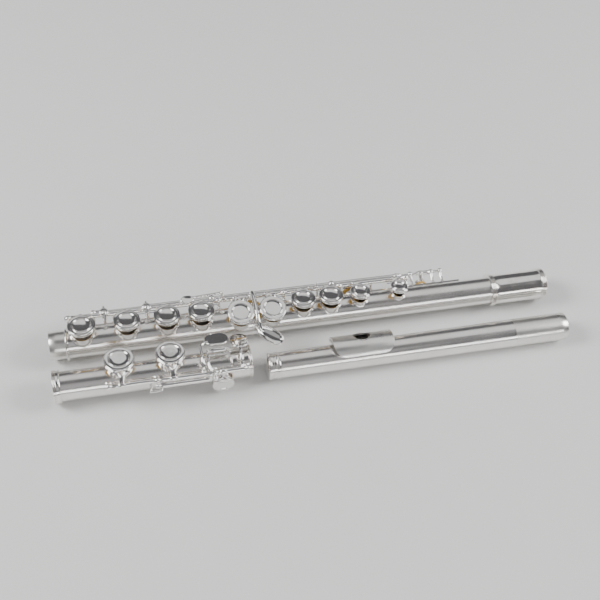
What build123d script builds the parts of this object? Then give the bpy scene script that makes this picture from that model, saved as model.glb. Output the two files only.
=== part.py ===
from build123d import *
import math
import os

# Concert flute in C, taken down into its three sections and laid out side by side on a flat surface.
# Millimetres. +X runs from the foot end of the body to its barrel, +Y from the foot and head to the body, +Z up.
# Every section is drawn round its own axis, at y = 0 and z = 0, and put in its place at the end.
# An angle round a tube is counted from its top, positive towards +Y.

# ---- Tubes ----
tube_radius = 9.9           # outside of the body and foot tubes
tube_wall = 0.4
slide_clearance = 0.05      # radial, between a tenon or tube and the sleeve over it
body_tube_end = 320.0       # where the body tube stops inside the barrel
tenon_radius = 9.75         # foot tenon at the body's left end
tenon_length = 10.6
tenon_ring_width = 1.8
tenon_shoulder_radius = 10.3  # the tube's shoulder under the tenon ring
bead_height = 1.4           # how far the decorative rings stand out from their tube
barrel_start = 315.0
barrel_length = 43.0
barrel_radius = 11.0
foot_length = 131.5
foot_socket_radius = 10.9
foot_socket_overlap = 2.8   # socket sleeve over the end of the foot tube
foot_end_ring_width = 5.0
relief_length = 2.0         # undercut at the bottom of a socket
relief_depth = 0.45

# ---- Head section ----
head_length = 221.0         # crown included
crown_length = 9.0
crown_radius = 9.3
head_narrow_radius = 8.9    # outside of the head tube at the crown
head_tenon_radius = 9.9
head_tenon_length = 39.0
mouth_hole_x = 68.0         # centre of the mouth hole from the crown's end
mouth_hole_length = 12.2
mouth_hole_width = 10.4
riser_wall = 1.0
plate_length = 43.0
plate_edge_z = 4.0          # how far down the plate's sides reach
plate_corner = 8.5
plate_thickness = 1.1
plate_curve_radius = 11.6
plate_height = 5.6          # plate's outside above the tube at the mouth hole
stopper_face_gap = 17.0     # from the mouth hole's centre to the stopper's face
cork_length = 16.0
stopper_disc_thickness = 1.5
stopper_screw_radius = 1.45
crown_spigot_length = 4.0

# ---- Tone holes and cups ----
chimney_height = 2.5        # rim of a tone hole above the tube
chimney_wall = 0.45
seat_gap = 0.1              # left under a closed pad
cup_wall = 0.6
pad_proud = 0.8             # pad below the cup's edge
pad_thickness = 2.1
pad_clearance = 0.05
cup_roof = 1.2              # cup's roof over the pad, at its rim
dish_depth = 0.7
thumb_rise = 1.9
trill_travel = 7.0          # degrees
key_rise = 2.9              # how far the middle of an open cup stands above its closed place

# ---- Hinges ----
rod_radius = 0.8
rod_clearance = 0.05
hinge_radius = 1.8          # hinge tubes on the main, thumb and foot rods
trill_hinge_radius = 1.55
hinge_end_gap = 0.2
post_ball_radius = 2.4
post_stem_radius = 1.15
post_half_width = 1.2       # room along the rod that a post takes from the hinge tubes
arm_radius = 0.85
wide_fork_radius = 8.0      # cups larger than this have a wide fork
filled_fork_radius = 7.5    # cups between this and the last have a third prong in the middle
rib_thickness = 0.8
rib_gap = 0.03
main_rod = (14.5, 8.5)      # (y, z) of each rod in its own section
trill_rod = (18.8, 5.5)
thumb_rod = (7.6, -10.9)
foot_rod = (-15.0, 6.5)
low_c_rod = (-16.2, 2.6)
thumb_hinge_radius = 1.3
felt_radius = 1.3
felt_thickness = 1.2
felt_gap = 0.12
clutch_reach = 4.2           # lugs where one key takes another with it: reach from the rod's axis
clutch_lug_radius = 0.65
clutch_gap = 0.08
spring_radius = 0.25
spring_offset = 2.7         # spring's distance from the rod's axis
spring_length = 13.0

# ---- Layout on the surface ----
foot_offset_x = -0.5        # foot's left end from the body's left end
foot_offset_y = -32.0
foot_roll = -20.0           # turned about its own axis, as it lies
head_offset_x = 141.0
head_offset_y = -37.5
head_roll = -34.0

# Tone holes: x, angle, hole radius, cup radius, whether the cup is dished
body_holes = {
    "d": (22.3, 0, 6.9, 9.5, True),
    "e": (52.2, 0, 6.7, 9.1, True),
    "f": (79.0, 0, 6.7, 9.1, True),
    "f_sharp": (102.4, 0, 6.7, 9.1, True),
    "g_low": (128.9, -17, 6.6, 9.2, False),
    "g_high": (151.3, -17, 6.6, 9.2, False),
    "a": (173.8, 0, 6.2, 8.7, True),
    "b_flat": (193.8, 0, 6.2, 8.7, True),
    "c_plate": (215.2, 0, 4.6, 7.1, True),
    "c_small": (244.0, 0, 3.7, 6.2, True),
    "g_sharp": (140.1, 103, 5.3, 7.3, False),
    "thumb": (214.5, 103, 5.3, 7.2, False),
    "d_trill": (248.6, 100, 2.9, 4.7, False),
    "d_sharp_trill": (267.4, 100, 2.9, 4.7, False),
}
foot_holes = {
    "low_c": (44.0, 0, 7.6, 10.2, False),
    "c_sharp": (77.4, 0, 7.6, 9.9, False),
    "e_flat": (110.3, -112, 5.6, 7.6, False),
}
main_posts = [14.0, 66.5, 116.5, 163.0, 204.0, 254.0]
trill_end_posts = [31.0, 282.5]
trill_rod_posts = [259.4, 275.5]
trill_tube_posts = [112.6, 199.8]
thumb_posts = [173.0, 225.0]
foot_post_xs = [35.4, 66.8, 104.9, 126.8]
low_c_post_xs = [66.8, 104.9]
rib_start = 11.0 + tenon_ring_width
rib_end = 294.0
rib_angles = (52, 84)

# ---- Worked out from the sizes above ----
rim_radius = tube_radius + chimney_height
seat_radius = rim_radius + seat_gap
cup_edge = seat_radius + pad_proud
cup_ceiling = seat_radius + pad_thickness + 0.02
cup_top = cup_ceiling + cup_roof
bore_radius = tube_radius - tube_wall
barrel_end = barrel_start + barrel_length
socket_bore_start = foot_length - tenon_length - 1.5
rib_radius = tube_radius + rib_gap + rib_thickness
tenon_ring_start = tenon_length
mouth_plate_top = head_narrow_radius + plate_height
plate_centre_z = mouth_plate_top - plate_curve_radius
cork_face_x = mouth_hole_x - stopper_face_gap


def turned(outline):
    """A solid of revolution about X from (x, radius) points."""
    points = [(x, 0, r) for x, r in outline]
    return revolve(make_face(Polyline(points, close=True)), Axis.X)


def pipe(x0, x1, outer, inner):
    """A straight tube along X."""
    return turned([(x0, inner), (x1, inner), (x1, outer), (x0, outer)])


def rod_pipe(x0, x1, rod, outer, inner=rod_radius + rod_clearance):
    """A hinge tube on a rod's axis."""
    return Pos(0, rod[0], rod[1]) * pipe(x0, x1, outer, inner)


def around(x, angle):
    """The place on a section's axis whose local Z points outwards at that angle."""
    return Pos(x, 0, 0) * Rot(X=-angle)


def on_tube(x, angle, radius, side=0.0, along=0.0):
    """A point (x, y, z) outside the tube: radius out from the axis, side across and along the tube."""
    a = math.radians(angle)
    return Vector(x + along, radius * math.sin(a) + side * math.cos(a), radius * math.cos(a) - side * math.sin(a))


def bar(start, end, r0=arm_radius, r1=None):
    """A round bar from point to point, with ball ends, tapered if r1 is given."""
    r1 = r0 if r1 is None else r1
    start, end = Vector(start), Vector(end)
    run = end - start
    plane = Plane(origin=start, z_dir=run)
    cone = Solid.make_cone(r0, r1, run.length, plane) if r0 != r1 else Solid.make_cylinder(r0, run.length, plane)
    return cone + Pos(start) * Sphere(r0) + Pos(end) * Sphere(r1)


def bars(points, radius=arm_radius):
    """A bent round bar through several points."""
    made = bar(points[0], points[1], radius)
    for start, end in zip(points[1:], points[2:]):
        made += bar(start, end, radius)
    return made


def drilled(holes, places):
    """Chimneys, and the cutters that open them into the tube."""
    chimneys, cutters = [], []
    for name in places:
        x, angle, hole, _cup, _dished = holes[name]
        chimneys.append(around(x, angle) * Cylinder(hole + chimney_wall, rim_radius, align=(Align.CENTER, Align.CENTER, Align.MIN)))
        cutters.append(around(x, angle) * Cylinder(hole, rim_radius + 2, align=(Align.CENTER, Align.CENTER, Align.MIN)))
    return chimneys, cutters


def holed_tube(x0, x1, outer, holes):
    """A tube with drawn tone holes."""
    chimneys, cutters = drilled(holes, holes)
    made = pipe(x0, x1, outer, 0)
    for chimney in chimneys:
        made += chimney
    made -= pipe(x0 - 1, x1 + 1, bore_radius, 0)
    for cutter in cutters:
        made -= cutter
    return made


def cup_solid(radius, dished):
    """A key cup on local Z, hollow below for its pad. Heights are from the tube's axis."""
    ring_radius = 0.68 * radius
    round_edge = 0.7
    outline = [(0, cup_edge), (radius, cup_edge), (radius, cup_top - round_edge), (radius - 0.3, cup_top - 0.2), (radius - round_edge, cup_top), (ring_radius + 0.5, cup_top), (ring_radius + 0.25, cup_top + 0.25), (ring_radius - 0.35, cup_top + 0.25)]
    if dished:
        outline += [(ring_radius - 0.7, cup_top - 0.1), (0.7 * ring_radius, cup_top - 0.75 * dish_depth), (0.35 * ring_radius, cup_top - 0.95 * dish_depth), (0, cup_top - dish_depth)]
    else:
        outline += [(ring_radius - 0.6, cup_top), (0, cup_top)]
    return revolve(make_face(Polyline([(r, 0, z) for r, z in outline], close=True)), Axis.Z)


def cup_hollow(radius):
    """The room inside a cup that its pad fills."""
    return Pos(0, 0, cup_edge - 1) * Cylinder(radius - cup_wall, cup_ceiling - cup_edge + 1, align=(Align.CENTER, Align.CENTER, Align.MIN))


def pad_solid(radius):
    """A skin pad: a disc with rounded edges."""
    disc = Pos(0, 0, seat_radius) * Cylinder(radius - cup_wall - pad_clearance, pad_thickness, align=(Align.CENTER, Align.CENTER, Align.MIN))
    return fillet(disc.edges().group_by(Axis.Z)[0], 0.3)


def fork(hole, rod):
    """Two prongs from the hinge tube to a cup's wall, closer together on a small cup, some with a third between."""
    x, angle, _hole, radius, _dished = hole
    spread = 34.0 if radius > wide_fork_radius else 20.0
    towards = 1 if rod[0] * math.cos(math.radians(angle)) - rod[1] * math.sin(math.radians(angle)) > 0 else -1
    made = None
    reach = radius - cup_wall / 2
    for turn in (-spread, 0, spread) if filled_fork_radius < radius < wide_fork_radius else (-spread, spread):
        t = math.radians(turn)
        tip = on_tube(x, angle, cup_edge + 1.5, towards * reach * math.cos(t), reach * math.sin(t))
        prong = bar((x + 1.2 * ((turn > 0) - (turn < 0)), rod[0], rod[1]), tip, 1.15, arm_radius)
        made = prong if made is None else made + prong
    return made


def key_and_pads(holes, names, rod, spans, hinge=hinge_radius, extras=()):
    """A key drawn closed: hinge tubes, forks and cups as one solid, and its pads beside it."""
    made = rod_pipe(*spans[0], rod, hinge)
    for span in spans[1:]:
        made += rod_pipe(*span, rod, hinge)
    for name in names:
        x, angle, _hole, radius, dished = holes[name]
        made += fork(holes[name], rod)
        made += around(x, angle) * cup_solid(radius, dished)
    for extra in extras:
        made += extra
    bore_from, bore_to = min(s[0] for s in spans) - 1, max(s[1] for s in spans) + 1
    made -= rod_pipe(bore_from, bore_to, rod, rod_radius + rod_clearance, 0)
    pads = []
    for name in names:
        x, angle, _hole, radius, _dished = holes[name]
        made -= around(x, angle) * cup_hollow(radius)
        pads.append(around(x, angle) * pad_solid(radius))
    return made, pads


def swung(shape, rod, degrees):
    """Turned about a rod's axis, right-handed about +X."""
    return shape.rotate(Axis((0, rod[0], rod[1]), (1, 0, 0)), degrees)


def open_angle(hole, rod, rise):
    """The turn that lifts a cup's middle by the rise."""
    centre = on_tube(0, hole[1], cup_edge)
    return math.degrees(rise / math.hypot(centre.Y - rod[0], centre.Z - rod[1]))


def stop_tail(x, rod, felt_angle):
    """A tail under the hinge tube whose tip rests at a felt on the body."""
    tip = on_tube(x, felt_angle, rib_radius + felt_thickness + felt_gap + arm_radius)
    return bar((x, rod[0], rod[1]), tip)


def felts(places):
    """Felt stops on the rib, one for each tail: (x, angle)."""
    made = []
    for x, angle in places:
        disc = Cylinder(felt_radius, felt_thickness + 2, align=(Align.CENTER, Align.CENTER, Align.MIN))
        made.append(around(x, angle) * (Pos(0, 0, rib_radius - 2) * disc) - pipe(x - 5, x + 5, rib_radius + 0.02, 0))
    return made


def post(x, rod, bore, ball=post_ball_radius, base=rib_radius + 0.02):
    """A turned post with a ball head, drilled for its rod, with its foot shaped to the rib."""
    angle = math.degrees(math.atan2(rod[0], rod[1]))
    reach = math.hypot(*rod)
    neck = reach - math.sqrt(ball**2 - post_stem_radius**2)
    foot_side = [(0, 0, base - 1.2), (post_stem_radius + 0.8, 0, base - 1.2), (post_stem_radius + 0.8, 0, base + 0.3)]
    stem_side = [(post_stem_radius + 0.1, 0, base + 0.9), (post_stem_radius, 0, neck)]
    head = ThreePointArc((post_stem_radius, 0, neck), (ball, 0, reach), (0, 0, reach + ball))
    outline = Curve() + [Polyline(*foot_side, *stem_side), head, Line((0, 0, reach + ball), (0, 0, base - 1.2))]
    turned_post = around(x, angle) * revolve(make_face(outline), Axis.Z)
    for side in (-1, 1):
        turned_post -= Pos(x + side * (post_half_width + 5), 0, 0) * Box(10, 4 * reach, 4 * reach)
    turned_post -= pipe(x - 5, x + 5, base, 0)
    return turned_post - rod_pipe(x - 5, x + 5, rod, bore, 0)


def rib(x0, x1, angles, holes):
    """The strap under the posts, cleared round the tone holes it passes."""
    ring = pipe(x0, x1, rib_radius, tube_radius + rib_gap)
    middle, half = sum(angles) / 2, (angles[1] - angles[0]) / 2
    reach = 2 * rib_radius
    wedge_points = [(0, 0), (reach * math.cos(math.radians(90 - middle + half)), reach * math.sin(math.radians(90 - middle + half))), (reach * math.cos(math.radians(90 - middle - half)), reach * math.sin(math.radians(90 - middle - half)))]
    wedge = extrude(Plane.YZ.offset(x0) * make_face(Polyline(wedge_points, close=True)), x1 - x0)
    made = ring & wedge
    for x, angle, hole, _cup, _dished in holes.values():
        made -= around(x, angle) * Cylinder(hole + chimney_wall + 0.25, 3 * rib_radius, align=(Align.CENTER, Align.CENTER, Align.MIN))
    return made


def springs(places, rod):
    """Needle springs beside a rod: (x of the post, direction along X)."""
    inward = Vector(0, -rod[0], -rod[1]).normalized() * spring_offset
    made = []
    for x, way in places:
        start = Vector(x + way * (post_half_width + 0.1), rod[0], rod[1]) + inward
        made.append(Solid.make_cylinder(spring_radius, spring_length, Plane(origin=start, z_dir=(way, 0, 0))))
    return made


def touch_disc(centre, radius, thickness, tilt):
    """A round touch with a shallow dish on top, tilted about X."""
    outline = [(0, 0), (radius - 0.4, 0), (radius, 0.4), (radius, thickness - 0.3), (radius - 0.3, thickness), (0.75 * radius, thickness), (0.45 * radius, thickness - 0.3), (0, thickness - 0.4)]
    disc = revolve(make_face(Polyline([(r, 0, z) for r, z in outline], close=True)), Axis.Z)
    return Pos(centre) * Rot(X=tilt) * disc


def spoon(centre, length, width, thickness, turn_z, tilt_x):
    """A long oval touch."""
    outline = scale(Circle(width / 2), (length / width, 1, 1))
    plate = fillet(extrude(outline, thickness).edges(), 0.35 * thickness)
    return Pos(centre) * Rot(X=tilt_x) * Rot(Z=turn_z) * plate


def span(index, posts=main_posts, before=hinge_end_gap, after=hinge_end_gap):
    """The free stretch of a rod between one post and the next."""
    return posts[index] + post_half_width + before, posts[index + 1] - post_half_width - after


def split_span(whole, *cuts):
    """A stretch of rod divided between neighbouring hinge tubes, with a running gap at each division."""
    edges = [whole[0], *cuts, whole[1]]
    half = hinge_end_gap / 2
    last = len(edges) - 2
    return [(a + (half if i else 0), b - (half if i < last else 0)) for i, (a, b) in enumerate(zip(edges, edges[1:]))]


def clutch(x, rod, angle):
    """A lug on the driving tube that bears on the back of a lug on the driven one; they meet about x."""
    behind = math.degrees((2 * clutch_lug_radius + clutch_gap) / clutch_reach)

    def out_point(turn, reach, along):
        a = math.radians(turn)
        return Vector(x + along, rod[0] + reach * math.sin(a), rod[1] + reach * math.cos(a))

    driver = bars([out_point(angle + behind, 1.0, -3.2), out_point(angle + behind, clutch_reach, -3.2), out_point(angle + behind, clutch_reach, 3.0)], clutch_lug_radius)
    driver += bar(out_point(angle + behind, clutch_reach, 2.6), out_point(angle + behind + 20, clutch_reach + 1.2, 2.6), 0.7)
    driven = bar(out_point(angle, 1.0, 2.6), out_point(angle, clutch_reach + 0.4, 2.6), clutch_lug_radius)
    return driver, driven


nodes = {"body": {}, "foot": {}, "head": {}}
joints = {}   # joint name: (section, rod or axis point, axis sign about X, degrees of travel)

# ---- Body section: tubes ----
body = nodes["body"]
body_tube = holed_tube(tenon_length, body_tube_end, tube_radius, body_holes)
body_tube += pipe(0, tenon_length, tenon_radius, bore_radius)
body_tube += pipe(tenon_ring_start, tenon_ring_start + tenon_ring_width, tenon_shoulder_radius, bore_radius)
body["body_tube"] = body_tube
ring_bore = tenon_shoulder_radius + 0.02
ring_end = tenon_ring_start + tenon_ring_width
body["tenon_ring"] = turned([
    (tenon_ring_start, ring_bore), (tenon_ring_start, tube_radius + 0.7 * bead_height),
    (tenon_ring_start + 0.4, tube_radius + bead_height), (ring_end - 0.4, tube_radius + bead_height),
    (ring_end, tube_radius + 0.7 * bead_height), (ring_end, ring_bore),
])


def beaded_sleeve(x0, x1, outer, inner, left_beads, right_beads, bead=1.1):
    """A sleeve with rounded beads turned at its ends; inner is a list of (x, radius)."""
    made = turned([*inner, (x1, outer), (x0, outer)])
    bead_centres = [x0 + bead / 2 + i * bead * 1.15 for i in range(left_beads)]
    bead_centres += [x1 - bead / 2 - i * bead * 1.15 for i in range(right_beads)]
    for x in bead_centres:
        made += turned([(x - bead / 2, outer - 0.3), (x + bead / 2, outer - 0.3), (x + bead / 2, outer + 0.35), (x + bead / 4, outer + 0.85), (x - bead / 4, outer + 0.85), (x - bead / 2, outer + 0.35)])
    return made


barrel_bore = head_tenon_radius + slide_clearance
barrel_seat = tube_radius + 0.02
socket_start = body_tube_end + relief_length / 2
relief_start = body_tube_end - relief_length / 2
barrel_inside = [
    (barrel_start, barrel_seat), (relief_start, barrel_seat), (relief_start, barrel_bore + relief_depth),
    (socket_start, barrel_bore + relief_depth), (socket_start, barrel_bore), (barrel_end, barrel_bore),
]
body["barrel"] = beaded_sleeve(barrel_start, barrel_end, barrel_radius, barrel_inside, 3, 3)

# ---- Body section: rib, posts and rods ----
body["key_rib"] = rib(rib_start, rib_end, rib_angles, body_holes)
posts = [post(x, main_rod, rod_radius + 0.02) for x in main_posts]
posts += [post(x, trill_rod, rod_radius + rod_clearance, ball=2.1) for x in trill_end_posts + trill_rod_posts]
posts += [post(x, trill_rod, trill_hinge_radius + rod_clearance, ball=2.5) for x in trill_tube_posts]
posts += [post(x, thumb_rod, rod_radius + 0.02, ball=1.3, base=tube_radius + rib_gap) for x in thumb_posts]
body["key_posts"] = Compound(children=posts)
main_rods = [(main_posts[0] - 1, main_posts[2] - 0.1), (main_posts[2] + 0.1, main_posts[5] + 1)]
rods = [rod_pipe(x0, x1, main_rod, rod_radius, 0) for x0, x1 in main_rods]
rods.append(rod_pipe(thumb_posts[0] - 1, thumb_posts[1] + 1, thumb_rod, rod_radius, 0))
body["hinge_rods"] = Compound(children=rods)


def screw_head(x, rod, way, size=1.5):
    """A slotted screw head on the end of a rod, outside its post."""
    head = turned([(x, 0), (x, size), (x + way * 0.8, size), (x + way * 1.1, size - 0.3), (x + way * 1.1, 0)] if way > 0 else [(x, 0), (x + way * 1.1, 0), (x + way * 1.1, size - 0.3), (x + way * 0.8, size), (x, size)])
    slot = Pos(x + way * 1.1, 0, 0) * Box(0.9, 0.4, 4 * size)
    return Pos(0, rod[0], rod[1]) * (head - slot)


end_gap = 1.05
screws = [screw_head(main_posts[0] - post_half_width - 0.02, main_rod, -1), screw_head(main_posts[5] + post_half_width + 0.02, main_rod, 1)]
screws += [screw_head(thumb_posts[0] - post_half_width - 0.02, thumb_rod, -1, 1.15), screw_head(thumb_posts[1] + post_half_width + 0.02, thumb_rod, 1, 1.15)]
# The heads are drilled where a rod's end reaches into them.
drilled_screws = []
for screw in screws:
    for x0, x1 in [*main_rods, (thumb_posts[0] - 1, thumb_posts[1] + 1)]:
        for rod in (main_rod, thumb_rod):
            screw -= rod_pipe(x0 - 0.02, x1 + 0.02, rod, rod_radius + 0.02, 0)
    drilled_screws.append(screw)
body["rod_screws"] = Compound(children=drilled_screws)

# ---- Body section: keys on the main rod ----
right_first = split_span(span(0), 37.0)
right_second = split_span(span(1), 90.7)
middle = split_span(span(2), 121.8, 137.0, 143.2)
left_first = split_span(span(3), 184.1)
left_second = split_span(span(4))
felt_angle = 77.0
tail_places = {"d": 19.5, "e": 44.0, "f": 72.5, "f_sharp": 109.0, "g": 157.0, "a": 180.0, "b_flat": 188.0, "c": 228.0}
f_driver, f_driven = clutch(90.7, main_rod, -45)
a_driver, b_flat_driven = clutch(184.1, main_rod, -45)


def open_key(section, name, holes, cup_names, rod, spans, way, tail_x=None, extras=(), hinge=hinge_radius, tail_angle=felt_angle, rise=key_rise):
    """Adds a key that stands open and closes when pressed; way is the sign about +X that presses it."""
    metal, pads = key_and_pads(holes, cup_names, rod, spans, hinge, extras)
    angle = open_angle(holes[cup_names[0]], rod, rise)
    metal = swung(metal, rod, -way * angle)
    if tail_x is not None:
        metal += stop_tail(tail_x, rod, tail_angle)
        metal -= rod_pipe(tail_x - 3, tail_x + 3, rod, rod_radius + rod_clearance, 0)
    pads = [swung(p, rod, -way * angle) for p in pads]
    nodes[section][name + "_key"] = metal
    nodes[section][name + ("_pads" if len(pads) > 1 else "_pad")] = Compound(children=pads) if len(pads) > 1 else pads[0]
    joints[name + "_key"] = (section, rod, way, angle)


def sprung_key(section, name, holes, cup_names, rod, spans, way, travel, extras=(), hinge=hinge_radius):
    """Adds a key that its spring holds closed, and that opens when its touch is pressed."""
    metal, pads = key_and_pads(holes, cup_names, rod, spans, hinge, extras)
    nodes[section][name + "_key"] = metal
    nodes[section][name + "_pad"] = pads[0]
    joints[name + "_key"] = (section, rod, way, travel)


open_key("body", "d", body_holes, ["d"], main_rod, [right_first[0]], 1, tail_places["d"])
open_key("body", "e", body_holes, ["e"], main_rod, [right_first[1]], 1, tail_places["e"])
open_key("body", "f", body_holes, ["f"], main_rod, [right_second[0]], 1, tail_places["f"], [f_driver])
open_key("body", "f_sharp", body_holes, ["f_sharp"], main_rod, [right_second[1]], 1, tail_places["f_sharp"], [f_driven])
g_bridge_y, g_bridge_z = 11.0, 11.6
g_bridge = bar((body_holes["g_low"][0] + 1, g_bridge_y, g_bridge_z), (body_holes["g_high"][0] - 1, g_bridge_y, g_bridge_z), 1.0)
open_key("body", "g", body_holes, ["g_low", "g_high"], main_rod, [middle[1], middle[3]], 1, tail_places["g"], [g_bridge])
open_key("body", "a", body_holes, ["a"], main_rod, [left_first[0]], 1, tail_places["a"], [a_driver])
open_key("body", "b_flat", body_holes, ["b_flat"], main_rod, [left_first[1]], 1, tail_places["b_flat"], [b_flat_driven])
open_key("body", "c", body_holes, ["c_plate", "c_small"], main_rod, [left_second[0]], 1, tail_places["c"])

# G sharp: its lever crosses over the tube between the two G cups, and its cup hangs behind the tube.
g_sharp_x = body_holes["g_sharp"][0]
lever_route = [(g_sharp_x, *main_rod), (g_sharp_x, 15.6, 13.6), (g_sharp_x, 12.4, 16.2), (g_sharp_x, 4.0, 16.9), (g_sharp_x, -4.0, 16.3), (g_sharp_x, -10.0, 14.0), (g_sharp_x + 0.3, -12.9, 11.4), (g_sharp_x + 1.6, -15.0, 9.0)]
g_sharp_lever = bars(lever_route, 1.05) + spoon((g_sharp_x + 6.6, -17.8, 6.7), 20.5, 10.0, 1.5, -38, 28)
sprung_key("body", "g_sharp", body_holes, ["g_sharp"], main_rod, [middle[2]], 1, 8.0, [g_sharp_lever])

# Side lever for B flat: a long bar over the post with its touch between the F cups.
side_hinge = middle[0]
side_root = (side_hinge[0] + side_hinge[1]) / 2
side_bar = bars([(side_root, *main_rod), (side_root, 16.6, 13.6), (side_root - 4.0, 15.8, 15.4), (96.5, 14.4, 15.9)], 0.9)
side_touch = spoon((94.6, 13.2, 15.2), 9.0, 6.2, 1.4, 0, 10)
b_flat_lever = rod_pipe(*side_hinge, main_rod, hinge_radius) + side_bar + side_touch
body["b_flat_lever"] = b_flat_lever - rod_pipe(side_hinge[0] - 1, side_hinge[1] + 1, main_rod, rod_radius + rod_clearance, 0)
joints["b_flat_lever"] = ("body", main_rod, 1, 2.6)

# ---- Body section: trill keys, one on a long tube and one on the rod inside it ----
trill_touch_1_x, trill_touch_2_x = 66.6, 38.1
trill_head_y, trill_head_z = 11.4, 15.4
trill_head_radius = 3.0
trill_tip_y, trill_tip_z = 3.8, 12.4


def trill_touch(x):
    """A round head behind the cups, on an arm over the main rod, with a tapered leg down to the tube."""
    arm = bars([(x, *trill_rod), (x, 18.9, 11.6), (x, 16.4, 15.2), (x, trill_head_y + 1.0, trill_head_z + 0.5)], 0.95)
    head = touch_disc((x, trill_head_y, trill_head_z), trill_head_radius, 1.7, 14)
    leg = bar((x, trill_head_y - 0.8, trill_head_z + 0.2), (x, trill_tip_y, trill_tip_z), 2.0, 0.6)
    return arm + head + leg


trill_1_span = (trill_touch_1_x - 2.4, body_holes["d_trill"][0] + 3.4)
d_trill_extras = [trill_touch(trill_touch_1_x)]
sprung_key("body", "d_trill", body_holes, ["d_trill"], trill_rod, [trill_1_span], 1, trill_travel, d_trill_extras, trill_hinge_radius)

d_sharp_hole = body_holes["d_sharp_trill"]
hub_left = (trill_end_posts[0] + post_half_width + hinge_end_gap, trill_touch_2_x + 3.0)
hub_right = (d_sharp_hole[0] - 3.4, trill_rod_posts[1] - post_half_width - hinge_end_gap)
trill_2 = rod_pipe(trill_end_posts[0] - 1.2, trill_end_posts[1] + 1.2, trill_rod, rod_radius, 0)
for hub in (hub_left, hub_right):
    trill_2 += rod_pipe(*hub, trill_rod, trill_hinge_radius, 0)
trill_2 += fork(d_sharp_hole, trill_rod) + around(d_sharp_hole[0], d_sharp_hole[1]) * cup_solid(d_sharp_hole[3], False)
trill_2 += trill_touch(trill_touch_2_x)
body["d_sharp_trill_key"] = trill_2 - around(d_sharp_hole[0], d_sharp_hole[1]) * cup_hollow(d_sharp_hole[3])
body["d_sharp_trill_pad"] = around(d_sharp_hole[0], d_sharp_hole[1]) * pad_solid(d_sharp_hole[3])
joints["d_sharp_trill_key"] = ("body", trill_rod, 1, trill_travel)

# ---- Body section: thumb keys, hinged under the tube ----
thumb_hole = body_holes["thumb"]
thumb_spans = split_span(span(0, thumb_posts), 188.6)


def thumb_touch(x, radius_out, size, angle=112):
    """A curved plate for the thumb, on an arm from the thumb rod."""
    plate = around(x, angle) * (Pos(0, 0, radius_out) * fillet(extrude(RectangleRounded(size[0], size[1], 2.6), 1.2).edges(), 0.35))
    return plate + bar((x, *thumb_rod), on_tube(x, angle, radius_out + 0.6, 2.0), 1.0)


thumb_extras = [thumb_touch(198.5, 14.2, (14.0, 8.0))]
open_key("body", "thumb", body_holes, ["thumb"], thumb_rod, [thumb_spans[1]], 1, None, thumb_extras, thumb_hinge_radius, rise=thumb_rise)
thumb_lever = rod_pipe(*thumb_spans[0], thumb_rod, thumb_hinge_radius) + thumb_touch(181.5, 14.2, (11.0, 8.0))
thumb_lever -= rod_pipe(thumb_spans[0][0] - 1, thumb_spans[0][1] + 1, thumb_rod, rod_radius + rod_clearance, 0)
body["thumb_lever"] = swung(thumb_lever, thumb_rod, -joints["thumb_key"][3])
joints["thumb_lever"] = ("body", thumb_rod, 1, joints["thumb_key"][3])

# ---- Body section: springs and felts ----
spring_places = [(main_posts[i], way) for i, way in [(0, 1), (1, -1), (1, 1), (2, -1), (3, -1), (3, 1), (4, -1), (4, 1), (5, -1)]]
body["needle_springs"] = Compound(children=springs(spring_places, main_rod))
body["stop_felts"] = Compound(children=felts([(x, felt_angle) for x in tail_places.values()]))

# ---- Foot section ----
foot = nodes["foot"]
foot_tube_end = socket_bore_start
foot["foot_tube"] = holed_tube(foot_end_ring_width * 0.2, foot_tube_end, tube_radius, foot_holes)
foot["foot_end_ring"] = beaded_sleeve(0, foot_end_ring_width, tube_radius + 0.75, [(0, bore_radius + 0.1), (foot_end_ring_width * 0.2 - 0.02, bore_radius + 0.1), (foot_end_ring_width * 0.2 - 0.02, tube_radius + slide_clearance), (foot_end_ring_width, tube_radius + slide_clearance)], 2, 1)
socket_bore = tenon_radius + 0.07
foot_socket_start = foot_tube_end - foot_socket_overlap
foot_bore_start = foot_tube_end + relief_length / 2
foot_relief_start = foot_tube_end - relief_length / 2
foot_socket_inside = [
    (foot_socket_start, tube_radius + slide_clearance), (foot_relief_start, tube_radius + slide_clearance),
    (foot_relief_start, socket_bore + relief_depth), (foot_bore_start, socket_bore + relief_depth),
    (foot_bore_start, socket_bore), (foot_length, socket_bore),
]
foot["foot_socket"] = beaded_sleeve(foot_socket_start, foot_length, foot_socket_radius, foot_socket_inside, 1, 2)
foot_rib_angles = (-84, -52)
foot["foot_rib"] = rib(32.0, foot_socket_start - 0.3, foot_rib_angles, foot_holes)
foot_posts = [post(x, foot_rod, rod_radius + 0.02) for x in foot_post_xs[:-1]]
foot_posts.append(post(foot_post_xs[-1], foot_rod, rod_radius + 0.02, base=foot_socket_radius + 0.02))
foot_posts += [post(x, low_c_rod, rod_radius + 0.02, ball=1.9) for x in low_c_post_xs]
merged_posts = [foot_posts[0], foot_posts[1] + foot_posts[4], foot_posts[2] + foot_posts[5], foot_posts[3]]
merged_posts[1] -= rod_pipe(foot_post_xs[1] - 5, foot_post_xs[1] + 5, foot_rod, rod_radius + 0.02, 0) + rod_pipe(foot_post_xs[1] - 5, foot_post_xs[1] + 5, low_c_rod, rod_radius + 0.02, 0)
merged_posts[2] -= rod_pipe(foot_post_xs[2] - 5, foot_post_xs[2] + 5, foot_rod, rod_radius + 0.02, 0) + rod_pipe(foot_post_xs[2] - 5, foot_post_xs[2] + 5, low_c_rod, rod_radius + 0.02, 0)
foot["foot_posts"] = Compound(children=merged_posts)
foot_rods = [rod_pipe(foot_post_xs[0] - 1, foot_post_xs[-1] + 1, foot_rod, rod_radius, 0), rod_pipe(low_c_post_xs[0] - 1, low_c_post_xs[1] + 1, low_c_rod, rod_radius, 0)]
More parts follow.
